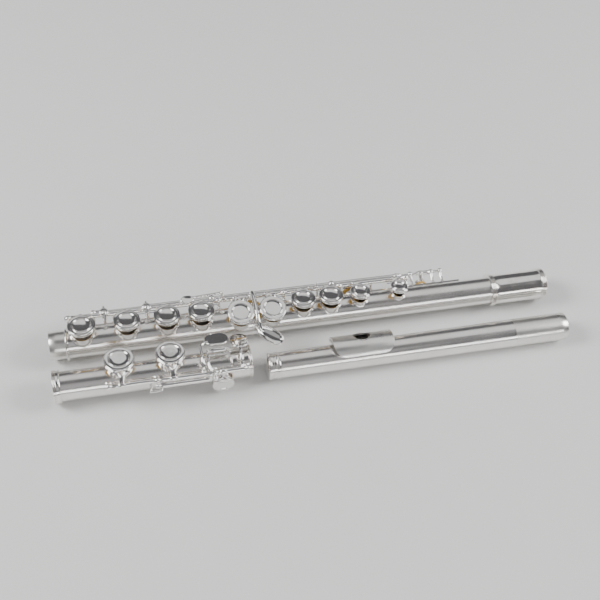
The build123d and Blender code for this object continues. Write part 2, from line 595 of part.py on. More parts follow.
foot["foot_rods"] = Compound(children=foot_rods)

low_c_span = span(0, foot_post_xs)
foot_tail_angle = -77.0
open_key("foot", "low_c", foot_holes, ["low_c"], foot_rod, [low_c_span], -1, 58.0, (), hinge_radius, foot_tail_angle)
# The lever's kicker passes outside the post between them and lifts a lug on the low C key.
link_y, link_z, link_x = -21.4, 2.8, 62.2
link_lug_z = link_z + 2 * clutch_lug_radius + clutch_gap
link_lug = bar((link_x, *foot_rod), (link_x, link_y, link_lug_z), 0.9, clutch_lug_radius)
low_c_metal = foot["low_c_key"] + link_lug
foot["low_c_key"] = low_c_metal - rod_pipe(link_x - 3, link_x + 3, foot_rod, rod_radius + rod_clearance, 0)
link_ratio = (low_c_rod[0] - link_y) / (foot_rod[0] - link_y)

# C sharp: cup and plate on one tube; the plate's arm passes to the left of the roller's.
c_sharp_arm_x = 97.4
plate_z = 15.0
c_sharp_span = (foot_post_xs[1] + post_half_width + hinge_end_gap, c_sharp_arm_x + 1.2)
c_sharp_arm = bars([(c_sharp_arm_x, *foot_rod), (c_sharp_arm_x, -13.2, 12.6), (c_sharp_arm_x, -8.0, plate_z + 0.6), (c_sharp_arm_x, 1.5, plate_z + 0.9), (c_sharp_arm_x + 4.0, 3.0, plate_z + 0.8)], 1.1)


def finger_plate(x0, x1, y0, y1, z, corner, tilt):
    """A flat touch with one rounded end, sloping down towards +Y."""
    made = fillet(extrude(RectangleRounded(x1 - x0, y1 - y0, corner), 1.4).edges(), 0.4)
    return Pos((x0 + x1) / 2, (y0 + y1) / 2, z) * Rot(X=tilt) * made


c_sharp_plate = finger_plate(101.0, 117.0, 0.2, 11.4, plate_z, 5.4, -8)
open_key("foot", "c_sharp", foot_holes, ["c_sharp"], foot_rod, [c_sharp_span], -1, 90.0, [c_sharp_arm, c_sharp_plate], hinge_radius, foot_tail_angle)

# Low C lever on its own rod, carrying the roller.
lever_arm_x = 101.3
roller_y, roller_z, roller_radius = -3.2, 15.6, 1.9
roller_x0 = lever_arm_x + 1.5
roller_length = foot_socket_start - 0.8 - roller_x0  # ends short of the socket it swings past
lever_span = (low_c_post_xs[0] + post_half_width + hinge_end_gap, lever_arm_x + 1.1)
cheek_x = roller_x0 + roller_length + 0.3 + 0.7
low_c_lever = rod_pipe(*lever_span, low_c_rod, hinge_radius)
low_c_lever += bars([(lever_arm_x, *low_c_rod), (lever_arm_x, -19.2, 5.4), (lever_arm_x, -17.6, 10.6), (lever_arm_x, -11.5, 14.4), (lever_arm_x, -6.4, 14.6), (lever_arm_x, roller_y, roller_z)], 0.95)
low_c_lever += bars([(lever_arm_x, -6.4, 14.6), (cheek_x, -6.4, 14.6), (cheek_x, roller_y, roller_z)], 0.7)
low_c_lever += bar((lever_arm_x, roller_y, roller_z), (cheek_x, roller_y, roller_z), 0.6)
kicker_x = lever_span[0] + 1.0
low_c_lever += bars([(kicker_x, *low_c_rod), (kicker_x, link_y, link_z), (link_x - 0.8, link_y, link_z)], clutch_lug_radius)
low_c_lever -= rod_pipe(lever_span[0] - 1, lever_span[1] + 1, low_c_rod, rod_radius + rod_clearance, 0)
foot["low_c_lever"] = low_c_lever
low_c_travel = joints["low_c_key"][3] / link_ratio
joints["low_c_lever"] = ("foot", low_c_rod, -1, low_c_travel)
roller_profile = [(roller_x0, 0.65), (roller_x0 + roller_length, 0.65), (roller_x0 + roller_length, roller_radius - 0.4), (roller_x0 + roller_length - 0.8, roller_radius), (roller_x0 + 0.8, roller_radius), (roller_x0, roller_radius - 0.4)]
foot["low_c_roller"] = Pos(0, roller_y, roller_z) * turned(roller_profile)

# E flat: touch above the tube, cup on the near side below the rod.
e_flat_span = span(2, foot_post_xs)
e_flat_x = 123.4
e_flat_plate = finger_plate(118.4, 130.2, -4.6, 11.6, plate_z + 0.2, 5.6, -7)
e_flat_arm = bars([(e_flat_x, *foot_rod), (e_flat_x, -13.4, 12.4), (e_flat_x, -8.6, plate_z + 1.0), (e_flat_x, -2.0, plate_z + 1.2)], 1.15)
sprung_key("foot", "e_flat", foot_holes, ["e_flat"], foot_rod, [e_flat_span], -1, 9.0, [e_flat_arm, e_flat_plate])

foot["foot_springs"] = Compound(children=springs([(foot_post_xs[0], 1), (foot_post_xs[1], 1), (foot_post_xs[3], -1)], foot_rod))
foot["foot_felts"] = Compound(children=felts([(58.0, foot_tail_angle), (90.0, foot_tail_angle)]))

# ---- Head section ----
head = nodes["head"]
tenon_start = head_length - head_tenon_length
taper_middle_x = (crown_length + tenon_start) / 2
taper_middle_radius = head_narrow_radius + 0.6 * (head_tenon_radius - head_narrow_radius)


def head_profile(shrink, x_start=crown_length, x_end=head_length, to_axis=True):
    """Half section of the head's tapered tube, shrunk inwards by that much."""
    r0, rm, r1 = head_narrow_radius - shrink, taper_middle_radius - shrink, head_tenon_radius - shrink
    top = ThreePointArc((crown_length, 0, r0), (taper_middle_x, 0, rm), (tenon_start, 0, r1))
    rest = Polyline((tenon_start, 0, r1), (head_length, 0, r1), (head_length, 0, 0), (crown_length, 0, 0), (crown_length, 0, r0))
    return make_face(Curve() + [top, rest])


def ellipse_cutter(length, width, height):
    """An upright elliptical prism over the mouth hole."""
    return Pos(mouth_hole_x, 0, 0) * extrude(Ellipse(length / 2, width / 2), height)


head_tube = revolve(head_profile(0), Axis.X) - revolve(head_profile(tube_wall), Axis.X)
mouth_cutter = ellipse_cutter(mouth_hole_length, mouth_hole_width, 30)
head["head_tube"] = head_tube - mouth_cutter
plate_curve = Pos(0, 0, plate_centre_z) * pipe(mouth_hole_x - plate_length, mouth_hole_x + plate_length, plate_curve_radius, plate_curve_radius - plate_thickness)
plate_sides = extrude(Plane.XZ * RectangleRounded(plate_length, 40, plate_corner), 30, both=True)
head["lip_plate"] = (plate_curve & Pos(mouth_hole_x, 0, plate_edge_z + 20) * plate_sides) - mouth_cutter
riser = ellipse_cutter(mouth_hole_length + 2 * riser_wall, mouth_hole_width + 2 * riser_wall, 30) - mouth_cutter
riser &= Pos(0, 0, plate_centre_z) * pipe(mouth_hole_x - 20, mouth_hole_x + 20, plate_curve_radius - plate_thickness - 0.02, 0)
riser -= turned([(mouth_hole_x - 20, 0), (mouth_hole_x + 20, 0), (mouth_hole_x + 20, taper_middle_radius), (mouth_hole_x - 20, taper_middle_radius)])
head["riser"] = riser

spigot_radius = head_narrow_radius - tube_wall - slide_clearance
crown_thread_radius = stopper_screw_radius + slide_clearance
head["crown"] = turned([
    (0, 0), (0, 0.8 * crown_radius), (0.5, 0.93 * crown_radius), (1.2, crown_radius), (2.6, crown_radius), (3.1, crown_radius - 0.5),
    (crown_length - 2.8, crown_radius - 0.5), (crown_length - 2.2, crown_radius), (crown_length - 0.6, crown_radius),
    (crown_length - 0.05, head_narrow_radius), (crown_length - 0.05, spigot_radius), (crown_length + crown_spigot_length, spigot_radius),
    (crown_length + crown_spigot_length, crown_thread_radius), (3.0, crown_thread_radius), (3.0, 0),
])
cork_radius = head_narrow_radius - tube_wall - 0.05
cork_start = cork_face_x - stopper_disc_thickness - cork_length
screw_start = 4.2
head["stopper_screw"] = turned([
    (screw_start, 0), (screw_start, stopper_screw_radius - 0.3), (screw_start + 0.3, stopper_screw_radius), (cork_face_x - stopper_disc_thickness, stopper_screw_radius),
    (cork_face_x - stopper_disc_thickness, cork_radius - 0.1), (cork_face_x, cork_radius - 0.1), (cork_face_x, 0),
])
cork_bore = stopper_screw_radius + 0.02
head["stopper_cork"] = pipe(cork_start, cork_face_x - stopper_disc_thickness - 0.02, cork_radius, cork_bore)
head["stopper_nut"] = pipe(cork_start - stopper_disc_thickness, cork_start - 0.02, cork_radius - 0.1, cork_bore)

# ---- Sections to their places on the surface, and the origin to the middle of the footprint ----
places = {"body": (0.0, 0.0, 0.0), "foot": (foot_offset_x, foot_offset_y, foot_roll), "head": (head_offset_x, head_offset_y, head_roll)}
stands = {}
for section, parts in nodes.items():
    dx, dy, roll = places[section]
    turned_parts = {name: shape.rotate(Axis.X, roll) for name, shape in parts.items()}
    lowest = min(s.bounding_box().min.Z for s in turned_parts.values())
    stands[section] = Pos(dx, dy, -lowest)
    nodes[section] = {name: stands[section] * shape for name, shape in turned_parts.items()}
boxes = [shape.bounding_box() for parts in nodes.values() for shape in parts.values()]
middle_x = (min(b.min.X for b in boxes) + max(b.max.X for b in boxes)) / 2
middle_y = (min(b.min.Y for b in boxes) + max(b.max.Y for b in boxes)) / 2
to_origin = Pos(-middle_x, -middle_y, 0)


def place_point(section, x, y, z):
    """A point drawn in a section, in the part's own frame."""
    turned_point = Vector(x, y, z).rotate(Axis.X, places[section][2])
    return turned_point + (to_origin * stands[section]).position


os.makedirs("parts", exist_ok=True)
for parts in nodes.values():
    for name, shape in parts.items():
        export_step(to_origin * shape, f"parts/{name}.step")
print(sum(len(parts) for parts in nodes.values()), "nodes")
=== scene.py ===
import bpy
import math
from mathutils import Matrix, Vector


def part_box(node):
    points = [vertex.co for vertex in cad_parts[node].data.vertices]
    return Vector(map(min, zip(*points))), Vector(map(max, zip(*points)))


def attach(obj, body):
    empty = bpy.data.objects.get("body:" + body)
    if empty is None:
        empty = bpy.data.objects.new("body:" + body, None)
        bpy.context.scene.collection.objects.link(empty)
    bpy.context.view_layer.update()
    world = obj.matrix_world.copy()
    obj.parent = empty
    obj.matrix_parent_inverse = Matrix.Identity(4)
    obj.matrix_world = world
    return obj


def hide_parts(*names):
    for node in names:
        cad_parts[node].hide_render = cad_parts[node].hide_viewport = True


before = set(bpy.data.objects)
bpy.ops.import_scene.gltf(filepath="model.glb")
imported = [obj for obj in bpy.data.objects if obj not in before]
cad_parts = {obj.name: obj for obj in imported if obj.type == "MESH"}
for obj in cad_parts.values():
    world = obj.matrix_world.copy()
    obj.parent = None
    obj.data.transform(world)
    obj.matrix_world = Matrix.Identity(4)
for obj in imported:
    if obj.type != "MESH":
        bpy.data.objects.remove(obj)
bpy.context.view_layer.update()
scene = bpy.context.scene

# Pieces are drawn in millimetres round their own section's axis, X along the tube, then laid in place.
# An angle round a tube counts from its top, positive towards +Y.


def sectionPlace(node, atHighEnd, along, roll):  # a turned sleeve's box gives its section's axis
    low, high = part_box(node)
    x = high.x - along * 0.001 if atHighEnd else low.x - along * 0.001
    origin = Vector((x, (low.y + high.y) / 2, (low.z + high.z) / 2))
    return Matrix.Translation(origin) @ Matrix.Rotation(math.radians(roll), 4, "X") @ Matrix.Scale(0.001, 4)


sections = {
    "body": sectionPlace("barrel", True, 358.0, 0),
    "foot": sectionPlace("foot_end_ring", False, 0.0, -20),
    "head": sectionPlace("crown", False, 0.0, -34),
}
sectionBody = {"body": "body_section", "foot": "foot_section", "head": "head_section"}


# ---- small tools ----

def pickNothing():
    if bpy.context.object and bpy.context.object.mode != "OBJECT":
        bpy.ops.object.mode_set(mode="OBJECT")
    bpy.ops.object.select_all(action="DESELECT")


def pick(*pieces):
    pickNothing()
    for piece in pieces:
        piece.select_set(True)
    bpy.context.view_layer.objects.active = pieces[0]


def around(x, angle):  # local Z points out of the tube at that angle
    return Matrix.Translation((x, 0, 0)) @ Matrix.Rotation(-math.radians(angle), 4, "X")


def alongTube(y=0.0, z=0.0):  # a lathe piece's height becomes X
    return Matrix.Translation((0, y, z)) @ Matrix(((0, 0, 1, 0), (0, 1, 0, 0), (-1, 0, 0, 0), (0, 0, 0, 1)))


def turnAbout(rod, degrees):
    there = Matrix.Translation((0, rod[0], rod[1]))
    return there @ Matrix.Rotation(math.radians(degrees), 4, "X") @ there.inverted()


def onTube(x, angle, radius, side=0.0, along=0.0):
    a = math.radians(angle)
    return (x + along, radius * math.sin(a) + side * math.cos(a), radius * math.cos(a) - side * math.sin(a))


def lay(piece, matrix):
    pick(piece)
    piece.matrix_world = matrix @ piece.matrix_world
    bpy.ops.object.transform_apply(location=True, rotation=True, scale=True)
    return piece


def copyOf(piece, name):
    pick(piece)
    bpy.ops.object.duplicate(linked=False)
    bpy.context.object.name = name
    return bpy.context.object


def joined(name, pieces):
    pick(*pieces)
    if len(pieces) > 1:
        bpy.ops.object.join()
    bpy.context.object.name = name
    return bpy.context.object


def remove(piece):
    pick(piece)
    bpy.ops.object.delete()


def turned(name, outline, sides=48, closed=False, weights=None):  # lathe about Z from (radius, height) points
    pickNothing()
    last = max(outline[0][0], 0.01)
    bpy.ops.mesh.primitive_circle_add(vertices=sides, radius=last, location=(0, 0, 0))
    piece = bpy.context.object
    piece.name = name
    bpy.ops.object.mode_set(mode="EDIT")
    bpy.ops.mesh.select_all(action="SELECT")
    height = outline[0][1]
    bpy.ops.transform.translate(value=(0, 0, height))
    for radius, z in outline[1:] + (outline[:1] if closed else []):
        radius = max(radius, 0.01)
        bpy.ops.mesh.extrude_region_move(TRANSFORM_OT_translate={"value": (0, 0, z - height)})
        if abs(radius - last) > 1e-6:
            grow = radius / last
            bpy.ops.transform.resize(value=(grow, grow, 1), center_override=(0, 0, z))
        last, height = radius, z
    if weights:
        bpy.ops.object.mode_set(mode="OBJECT")
        group = piece.vertex_groups.new(name="hug")
        for ring, weight in enumerate(weights + (weights[:1] if closed else [])):
            group.add(list(range(ring * sides, (ring + 1) * sides)), weight, "REPLACE")
        bpy.ops.object.mode_set(mode="EDIT")
    bpy.ops.mesh.select_all(action="SELECT")
    bpy.ops.mesh.remove_doubles(threshold=0.025)
    bpy.ops.mesh.normals_make_consistent(inside=False)
    bpy.ops.object.mode_set(mode="OBJECT")
    return piece


def bentBar(name, points, radii, wide=1.0, fine=4):  # a drawn wire or strap along a smooth path, rounded at its ends
    points = [Vector(p) for p in points]
    radii = list(radii) if isinstance(radii, (list, tuple)) else [radii] * len(points)
    tail = (points[0] - points[1]).normalized()
    tip = (points[-1] - points[-2]).normalized()
    points = [points[0] + tail * 0.9 * radii[0], points[0] + tail * 0.5 * radii[0], *points,
              points[-1] + tip * 0.5 * radii[-1], points[-1] + tip * 0.9 * radii[-1]]
    radii = [0.3 * radii[0], 0.85 * radii[0], *radii, 0.85 * radii[-1], 0.3 * radii[-1]]
    pickNothing()
    bpy.ops.curve.primitive_nurbs_path_add(location=(0, 0, 0))
    path = bpy.context.object
    path.name = name
    path.data.splines.clear()
    spline = path.data.splines.new("NURBS")
    spline.points.add(len(points) - 1)
    for at, place, radius in zip(spline.points, points, radii):
        at.co = (*place, 1)
        at.radius = radius
    spline.use_endpoint_u = True
    spline.order_u = 3
    path.data.bevel_depth = 1.0
    path.data.bevel_resolution = fine
    path.data.resolution_u = 5
    path.data.use_fill_caps = True
    bpy.ops.object.convert(target="MESH")
    bpy.ops.object.mode_set(mode="EDIT")
    bpy.ops.mesh.select_all(action="SELECT")
    bpy.ops.mesh.remove_doubles(threshold=0.001)
    if wide != 1.0:
        middle = sum((p.x for p in points)) / len(points)
        bpy.ops.transform.resize(value=(wide, 1, 1), center_override=(middle, 0, 0))
    bpy.ops.mesh.normals_make_consistent(inside=False)
    bpy.ops.object.mode_set(mode="OBJECT")
    return bpy.context.object


def applyAll(piece):
    pick(piece)
    for modifier in list(piece.modifiers):
        bpy.ops.object.modifier_apply(modifier=modifier.name)


def roundEdges(piece, width, segments=3, angle=30):
    bevel = piece.modifiers.new("softEdge", "BEVEL")
    bevel.width = width
    bevel.segments = segments
    bevel.limit_method = "ANGLE"
    bevel.angle_limit = math.radians(angle)
    bevel.use_clamp_overlap = True
    applyAll(piece)
    return piece


def cut(piece, cutter, operation="DIFFERENCE"):
    boolean = piece.modifiers.new("cut", "BOOLEAN")
    boolean.operation = operation
    boolean.solver = "EXACT"
    boolean.object = cutter
    applyAll(piece)
    remove(cutter)
    return piece


def roundedPlate(name, length, width, thickness, corner, soft=0.4, dip=0.0):  # a flat touch with rounded corners
    pickNothing()
    bpy.ops.mesh.primitive_cube_add(size=1, location=(0, 0, thickness / 2))
    plate = bpy.context.object
    plate.name = name
    bpy.ops.object.mode_set(mode="EDIT")
    bpy.ops.mesh.select_all(action="SELECT")
    bpy.ops.transform.resize(value=(length, width, thickness), center_override=(0, 0, thickness / 2))
    bpy.ops.mesh.select_mode(type="EDGE")
    bpy.ops.mesh.select_all(action="DESELECT")
    bpy.ops.object.mode_set(mode="OBJECT")
    for edge in plate.data.edges:
        a, b = (plate.data.vertices[i].co for i in edge.vertices)
        edge.select = abs(a.z - b.z) > 0.5 * thickness
    bpy.ops.object.mode_set(mode="EDIT")
    bpy.ops.mesh.bevel(offset=corner, segments=10, affect="EDGES")
    bpy.ops.mesh.select_mode(type="FACE")
    bpy.ops.mesh.select_all(action="DESELECT")
    bpy.ops.object.mode_set(mode="OBJECT")
    for face in plate.data.polygons:
        face.select = face.normal.z > 0.9
    bpy.ops.object.mode_set(mode="EDIT")
    bpy.ops.mesh.inset(thickness=0.16 * min(length, width))
    bpy.ops.transform.translate(value=(0, 0, -0.6 * dip))
    bpy.ops.mesh.inset(thickness=0.16 * min(length, width))
    bpy.ops.transform.translate(value=(0, 0, -0.4 * dip))
    bpy.ops.mesh.select_mode(type="VERT")
    bpy.ops.object.mode_set(mode="OBJECT")
    lay(plate, Matrix.Identity(4))
    return roundEdges(plate, soft, 4, 40)


def finish(piece, section, body, material, nodes=(), smooth=40):
    lay(piece, sections[section])
    bpy.ops.object.shade_smooth_by_angle(angle=math.radians(smooth))
    if material:
        piece.data.materials.clear()
        piece.data.materials.append(material)
        for face in piece.data.polygons:
            face.material_index = 0
    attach(piece, body)
    if nodes:
        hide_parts(*nodes)
    return piece


# ---- materials ----

def newGroup(name, inputs, outputs):
    group = bpy.data.node_groups.new(name, "ShaderNodeTree")
    for label, value in inputs:
        socket = group.interface.new_socket(label, in_out="INPUT", socket_type="NodeSocketFloat")
        socket.default_value = value
    for label, kind in outputs:
        group.interface.new_socket(label, in_out="OUTPUT", socket_type=kind)
    return group, group.nodes.new("NodeGroupInput"), group.nodes.new("NodeGroupOutput")


def node(tree, kind, **settings):
    made = tree.nodes.new(kind)
    for key, value in settings.items():
        setattr(made, key, value)
    return made


def buildHaze():  # soft cloudy film and handling marks: roughness and a slight tint mask
    group, given, out = newGroup("handlingFilm", [("Patch", 60.0), ("Smooth", 0.12), ("Dull", 0.22)],
                                 [("Roughness", "NodeSocketFloat"), ("Film", "NodeSocketFloat")])
    link = group.links.new
    place = node(group, "ShaderNodeTexCoord")
    cloud = node(group, "ShaderNodeTexNoise")
    cloud.inputs["Detail"].default_value = 5
    cloud.inputs["Roughness"].default_value = 0.6
    link(place.outputs["Object"], cloud.inputs["Vector"])
    link(given.outputs["Patch"], cloud.inputs["Scale"])
    spread = node(group, "ShaderNodeMapRange")
    spread.inputs["From Min"].default_value = 0.35
    spread.inputs["From Max"].default_value = 0.7
    link(cloud.outputs["Fac"], spread.inputs["Value"])
    link(given.outputs["Smooth"], spread.inputs["To Min"])
    link(given.outputs["Dull"], spread.inputs["To Max"])
    film = node(group, "ShaderNodeMapRange")
    film.inputs["From Min"].default_value = 0.45
    film.inputs["From Max"].default_value = 0.75
    link(cloud.outputs["Fac"], film.inputs["Value"])
    link(spread.outputs["Result"], out.inputs["Roughness"])
    link(film.outputs["Result"], out.inputs["Film"])
    return group


def buildLines():  # hair-fine polishing lines, stretched along or round the tube
    group, given, out = newGroup("polishingLines", [("AlongX", 150.0), ("Across", 9000.0)],
                                 [("Height", "NodeSocketFloat")])
    link = group.links.new
    place = node(group, "ShaderNodeTexCoord")
    split = node(group, "ShaderNodeSeparateXYZ")
    gather = node(group, "ShaderNodeCombineXYZ")
    link(place.outputs["Object"], split.inputs["Vector"])
    for axis, amount in (("X", "AlongX"), ("Y", "Across"), ("Z", "Across")):
        times = node(group, "ShaderNodeMath", operation="MULTIPLY")
        link(split.outputs[axis], times.inputs[0])
        link(given.outputs[amount], times.inputs[1])
        link(times.outputs["Value"], gather.inputs[axis])
    grain = node(group, "ShaderNodeTexNoise")
    grain.inputs["Scale"].default_value = 1.0
    grain.inputs["Detail"].default_value = 3
    link(gather.outputs["Vector"], grain.inputs["Vector"])
    link(grain.outputs["Fac"], out.inputs["Height"])
    return group


hazeGroup = buildHaze()
linesGroup = buildLines()


def metal(name, colour, filmColour, patch, smooth, dull, alongX, across, strength):
    material = bpy.data.materials.new(name)
    material.use_nodes = True
    tree = material.node_tree
    shader = tree.nodes["Principled BSDF"]
    shader.inputs["Metallic"].default_value = 1.0
    haze = node(tree, "ShaderNodeGroup", node_tree=hazeGroup)
    haze.inputs["Patch"].default_value = patch
    haze.inputs["Smooth"].default_value = smooth
    haze.inputs["Dull"].default_value = dull
    lines = node(tree, "ShaderNodeGroup", node_tree=linesGroup)
    lines.inputs["AlongX"].default_value = alongX
    lines.inputs["Across"].default_value = across
    tint = node(tree, "ShaderNodeMix", data_type="RGBA")
    tint.inputs["A"].default_value = (*colour, 1)
    tint.inputs["B"].default_value = (*filmColour, 1)
    bump = node(tree, "ShaderNodeBump")
    bump.inputs["Strength"].default_value = strength
    bump.inputs["Distance"].default_value = 0.00002
    link = tree.links.new
    link(haze.outputs["Film"], tint.inputs["Factor"])
    link(tint.outputs["Result"], shader.inputs["Base Color"])
    link(haze.outputs["Roughness"], shader.inputs["Roughness"])
    link(lines.outputs["Height"], bump.inputs["Height"])
    link(bump.outputs["Normal"], shader.inputs["Normal"])
    return material


def soft(name, light, dark, scale, rough, strength, distance):
    material = bpy.data.materials.new(name)
    material.use_nodes = True
    tree = material.node_tree
    shader = tree.nodes["Principled BSDF"]
    place = node(tree, "ShaderNodeTexCoord")
    grain = node(tree, "ShaderNodeTexNoise")
    grain.inputs["Scale"].default_value = scale
    grain.inputs["Detail"].default_value = 6
    tint = node(tree, "ShaderNodeMix", data_type="RGBA")
    tint.inputs["A"].default_value = (*light, 1)
    tint.inputs["B"].default_value = (*dark, 1)
    bump = node(tree, "ShaderNodeBump")
    bump.inputs["Strength"].default_value = strength
    bump.inputs["Distance"].default_value = distance
    link = tree.links.new
    link(place.outputs["Object"], grain.inputs["Vector"])
    link(grain.outputs["Fac"], tint.inputs["Factor"])
    link(tint.outputs["Result"], shader.inputs["Base Color"])
    link(grain.outputs["Fac"], bump.inputs["Height"])
    link(bump.outputs["Normal"], shader.inputs["Normal"])
    shader.inputs["Roughness"].default_value = rough
    return material


silverTube = metal("silverTube", (0.90, 0.885, 0.86), (0.84, 0.80, 0.765), 38, 0.20, 0.27, 60, 5000, 0.12)
silverKey = metal("silverKey", (0.93, 0.92, 0.90), (0.87, 0.85, 0.82), 90, 0.07, 0.12, 900, 4000, 0.10)
silverSatin = metal("silverSatin", (0.90, 0.89, 0.865), (0.84, 0.82, 0.79), 110, 0.27, 0.34, 2500, 900, 0.22)
silverRing = metal("silverRing", (0.94, 0.925, 0.90), (0.80, 0.76, 0.70), 140, 0.12, 0.20, 8000, 60, 0.12)
nickelTenon = metal("nickelTenon", (0.86, 0.85, 0.81), (0.77, 0.75, 0.70), 70, 0.27, 0.35, 9000, 40, 0.35)
rodSteel = metal("rodSteel", (0.70, 0.70, 0.71), (0.58, 0.58, 0.59), 160, 0.18, 0.28, 200, 6000, 0.12)
springBlue = metal("springBlue", (0.10, 0.12, 0.19), (0.05, 0.06, 0.09), 200, 0.25, 0.35, 200, 6000, 0.10)
padSkin = soft("padSkin", (0.90, 0.60, 0.16), (0.66, 0.36, 0.07), 420, 0.42, 0.25, 0.00006)
stopFelt = soft("stopFelt", (0.60, 0.55, 0.46), (0.38, 0.33, 0.27), 2400, 0.95, 0.6, 0.0001)
corkWood = soft("corkWood", (0.66, 0.46, 0.28), (0.40, 0.25, 0.14), 900, 0.8, 0.5, 0.0001)
print("materials ready")

# ---- tubes and sleeves ----

tubes = {"radius": 9.9, "bore": 9.5, "sides": 128, "ringStep": 6.0, "rimHeight": 12.4, "tenon": 9.75, "tenonLength": 10.6}
bodyHoles = {  # along, angle round the tube, hole radius, cup radius, dished cup
    "d": (22.3, 0, 6.9, 9.5, True), "e": (52.2, 0, 6.7, 9.1, True), "f": (79.0, 0, 6.7, 9.1, True),
    "f_sharp": (102.4, 0, 6.7, 9.1, True), "g_low": (128.9, -17, 6.6, 9.2, False), "g_high": (151.3, -17, 6.6, 9.2, False),
    "a": (173.8, 0, 6.2, 8.7, True), "b_flat": (193.8, 0, 6.2, 8.7, True), "c_plate": (215.2, 0, 4.6, 7.1, True),
    "c_small": (244.0, 0, 3.7, 6.2, True), "g_sharp": (140.1, 103, 5.3, 7.3, False), "thumb": (214.5, 103, 5.3, 7.2, False),
    "d_trill": (248.6, 100, 2.9, 4.7, False), "d_sharp_trill": (267.4, 100, 2.9, 4.7, False),
}
footHoles = {"low_c": (44.0, 0, 7.6, 10.2, False), "c_sharp": (77.4, 0, 7.6, 9.9, False), "e_flat": (110.3, -112, 5.6, 7.6, False)}


def steps(start, end, step):
    count = max(2, round(abs(end - start) / step))
    return [start + (end - start) * i / count for i in range(count + 1)]


def tubeWithHoles(name, outline, holes):
    tube = lay(turned(name, outline, tubes["sides"], closed=True), alongTube())
    drills = []
    for x, angle, hole, _cup, _dished in holes.values():
        pickNothing()
        bpy.ops.mesh.primitive_cylinder_add(vertices=72, radius=hole, depth=16, location=(0, 0, 13.0))
        drills.append(lay(bpy.context.object, around(x, angle)))
    return cut(tube, joined("drills", drills))


def collars(name, holes, thick=0.45):  # tone holes drawn up out of the tube, their feet hugging it
    pickNothing()
    bpy.ops.mesh.primitive_cylinder_add(vertices=256, radius=tubes["radius"], depth=60, rotation=(0, math.pi / 2, 0))
    former = bpy.context.object
    made = {}
    pieces = []
    for x, angle, hole, _cup, _dished in holes.values():
        if hole not in made:
            rise = [(1.25, 0.0), (0.95, 0.03), (0.72, 0.08), (0.56, 0.18), (0.47, 0.34), (0.45, 0.55), (0.45, 0.84), (0.5, 0.9),
                    (0.55, 0.945), (0.53, 0.98), (0.42, 1.0), (0.2, 1.0), (0.06, 0.985), (0.0, 0.94), (0.0, 0.5), (0.0, 0.0)]
            outline = [(hole + out * thick / 0.45, tubes["rimHeight"]) for out, _up in rise]
            ring = turned("collar", [(r + 0.0004 * i, z + 0.0001 * i) for i, (r, z) in enumerate(outline)], 72, weights=[1 - up for _out, up in rise])
            hug = ring.modifiers.new("hug", "SHRINKWRAP")
            hug.wrap_method = "PROJECT"
            hug.use_project_z = True
            hug.use_negative_direction = True
            hug.use_positive_direction = False
            hug.target = former
            hug.vertex_group = "hug"
            applyAll(ring)
            made[hole] = ring
        pieces.append(lay(copyOf(made[hole], "collar"), around(x, angle)))
    for ring in made.values():
        remove(ring)
    remove(former)
    return joined(name, pieces)


def sleeveOutline(x0, x1, outer, leftBeads, rightBeads, inner, bead=1.1, stand=0.85):  # (radius, along) round a sleeve
    centres = [x0 + bead / 2 + i * bead * 1.15 for i in range(leftBeads)]
    centres += [x1 - bead / 2 - i * bead * 1.15 for i in reversed(range(rightBeads))]
    points = [inner[0], (outer - 0.1, x0), (outer, x0 + 0.02)]
    for c in centres:
        if c - bead / 2 - points[-1][1] > 2:
            points += [(outer, x) for x in steps(points[-1][1] + 0.15, c - bead / 2 - 0.15, 3.0)]
        points += [(outer + out * stand, c + at * bead) for out, at in
                   ((0.05, -0.48), (0.45, -0.45), (0.78, -0.33), (0.95, -0.17), (1.0, 0.0), (0.95, 0.17), (0.78, 0.33), (0.45, 0.45), (0.05, 0.48))]
    points += [(outer - 0.1, x1)]
    return points + [p for p in reversed(inner[1:])]


bodyOutline = [(tubes["bore"], 0.0), (tubes["tenon"] - 0.12, 0.0), (tubes["tenon"], 0.15), (tubes["tenon"], 5.3), (tubes["tenon"], 10.58), (tubes["radius"], 10.62)]
bodyOutline += [(tubes["radius"], x) for x in steps(12.4, 320.0, tubes["ringStep"])] + [(tubes["bore"], x) for x in steps(320.0, 6.0, tubes["ringStep"])]
bodyTube = tubeWithHoles("bodyTube", bodyOutline, bodyHoles)
bodyCollars = collars("bodyCollars", bodyHoles)
finish(bodyCollars, "body", "body_section", silverTube, ["body_tube"])
finish(bodyTube, "body", "body_section", silverTube, ["body_tube"])
bodyTube.data.materials.append(nickelTenon)
tenonFace = sections["body"].translation.x + 0.0106
for face in bodyTube.data.polygons:
    face.material_index = 1 if face.center.x < tenonFace else 0

tenonRing = turned("tenonRing", [(9.92, 10.62), (10.7, 10.62), (11.05, 10.72), (11.25, 10.95), (11.3, 11.25), (11.3, 11.75), (11.25, 12.05),
                                 (11.05, 12.28), (10.7, 12.38), (9.92, 12.38)], 128, closed=True)
finish(lay(tenonRing, alongTube()), "body", "body_section", silverRing, ["tenon_ring"])
barrel = turned("barrel", sleeveOutline(315.0, 358.0, 11.0, 3, 3, [(9.93, 315.0), (9.96, 358.0), (9.96, 340.0), (9.96, 321.0)]), 128, closed=True)
finish(lay(barrel, alongTube()), "body", "body_section", silverRing, ["barrel"])

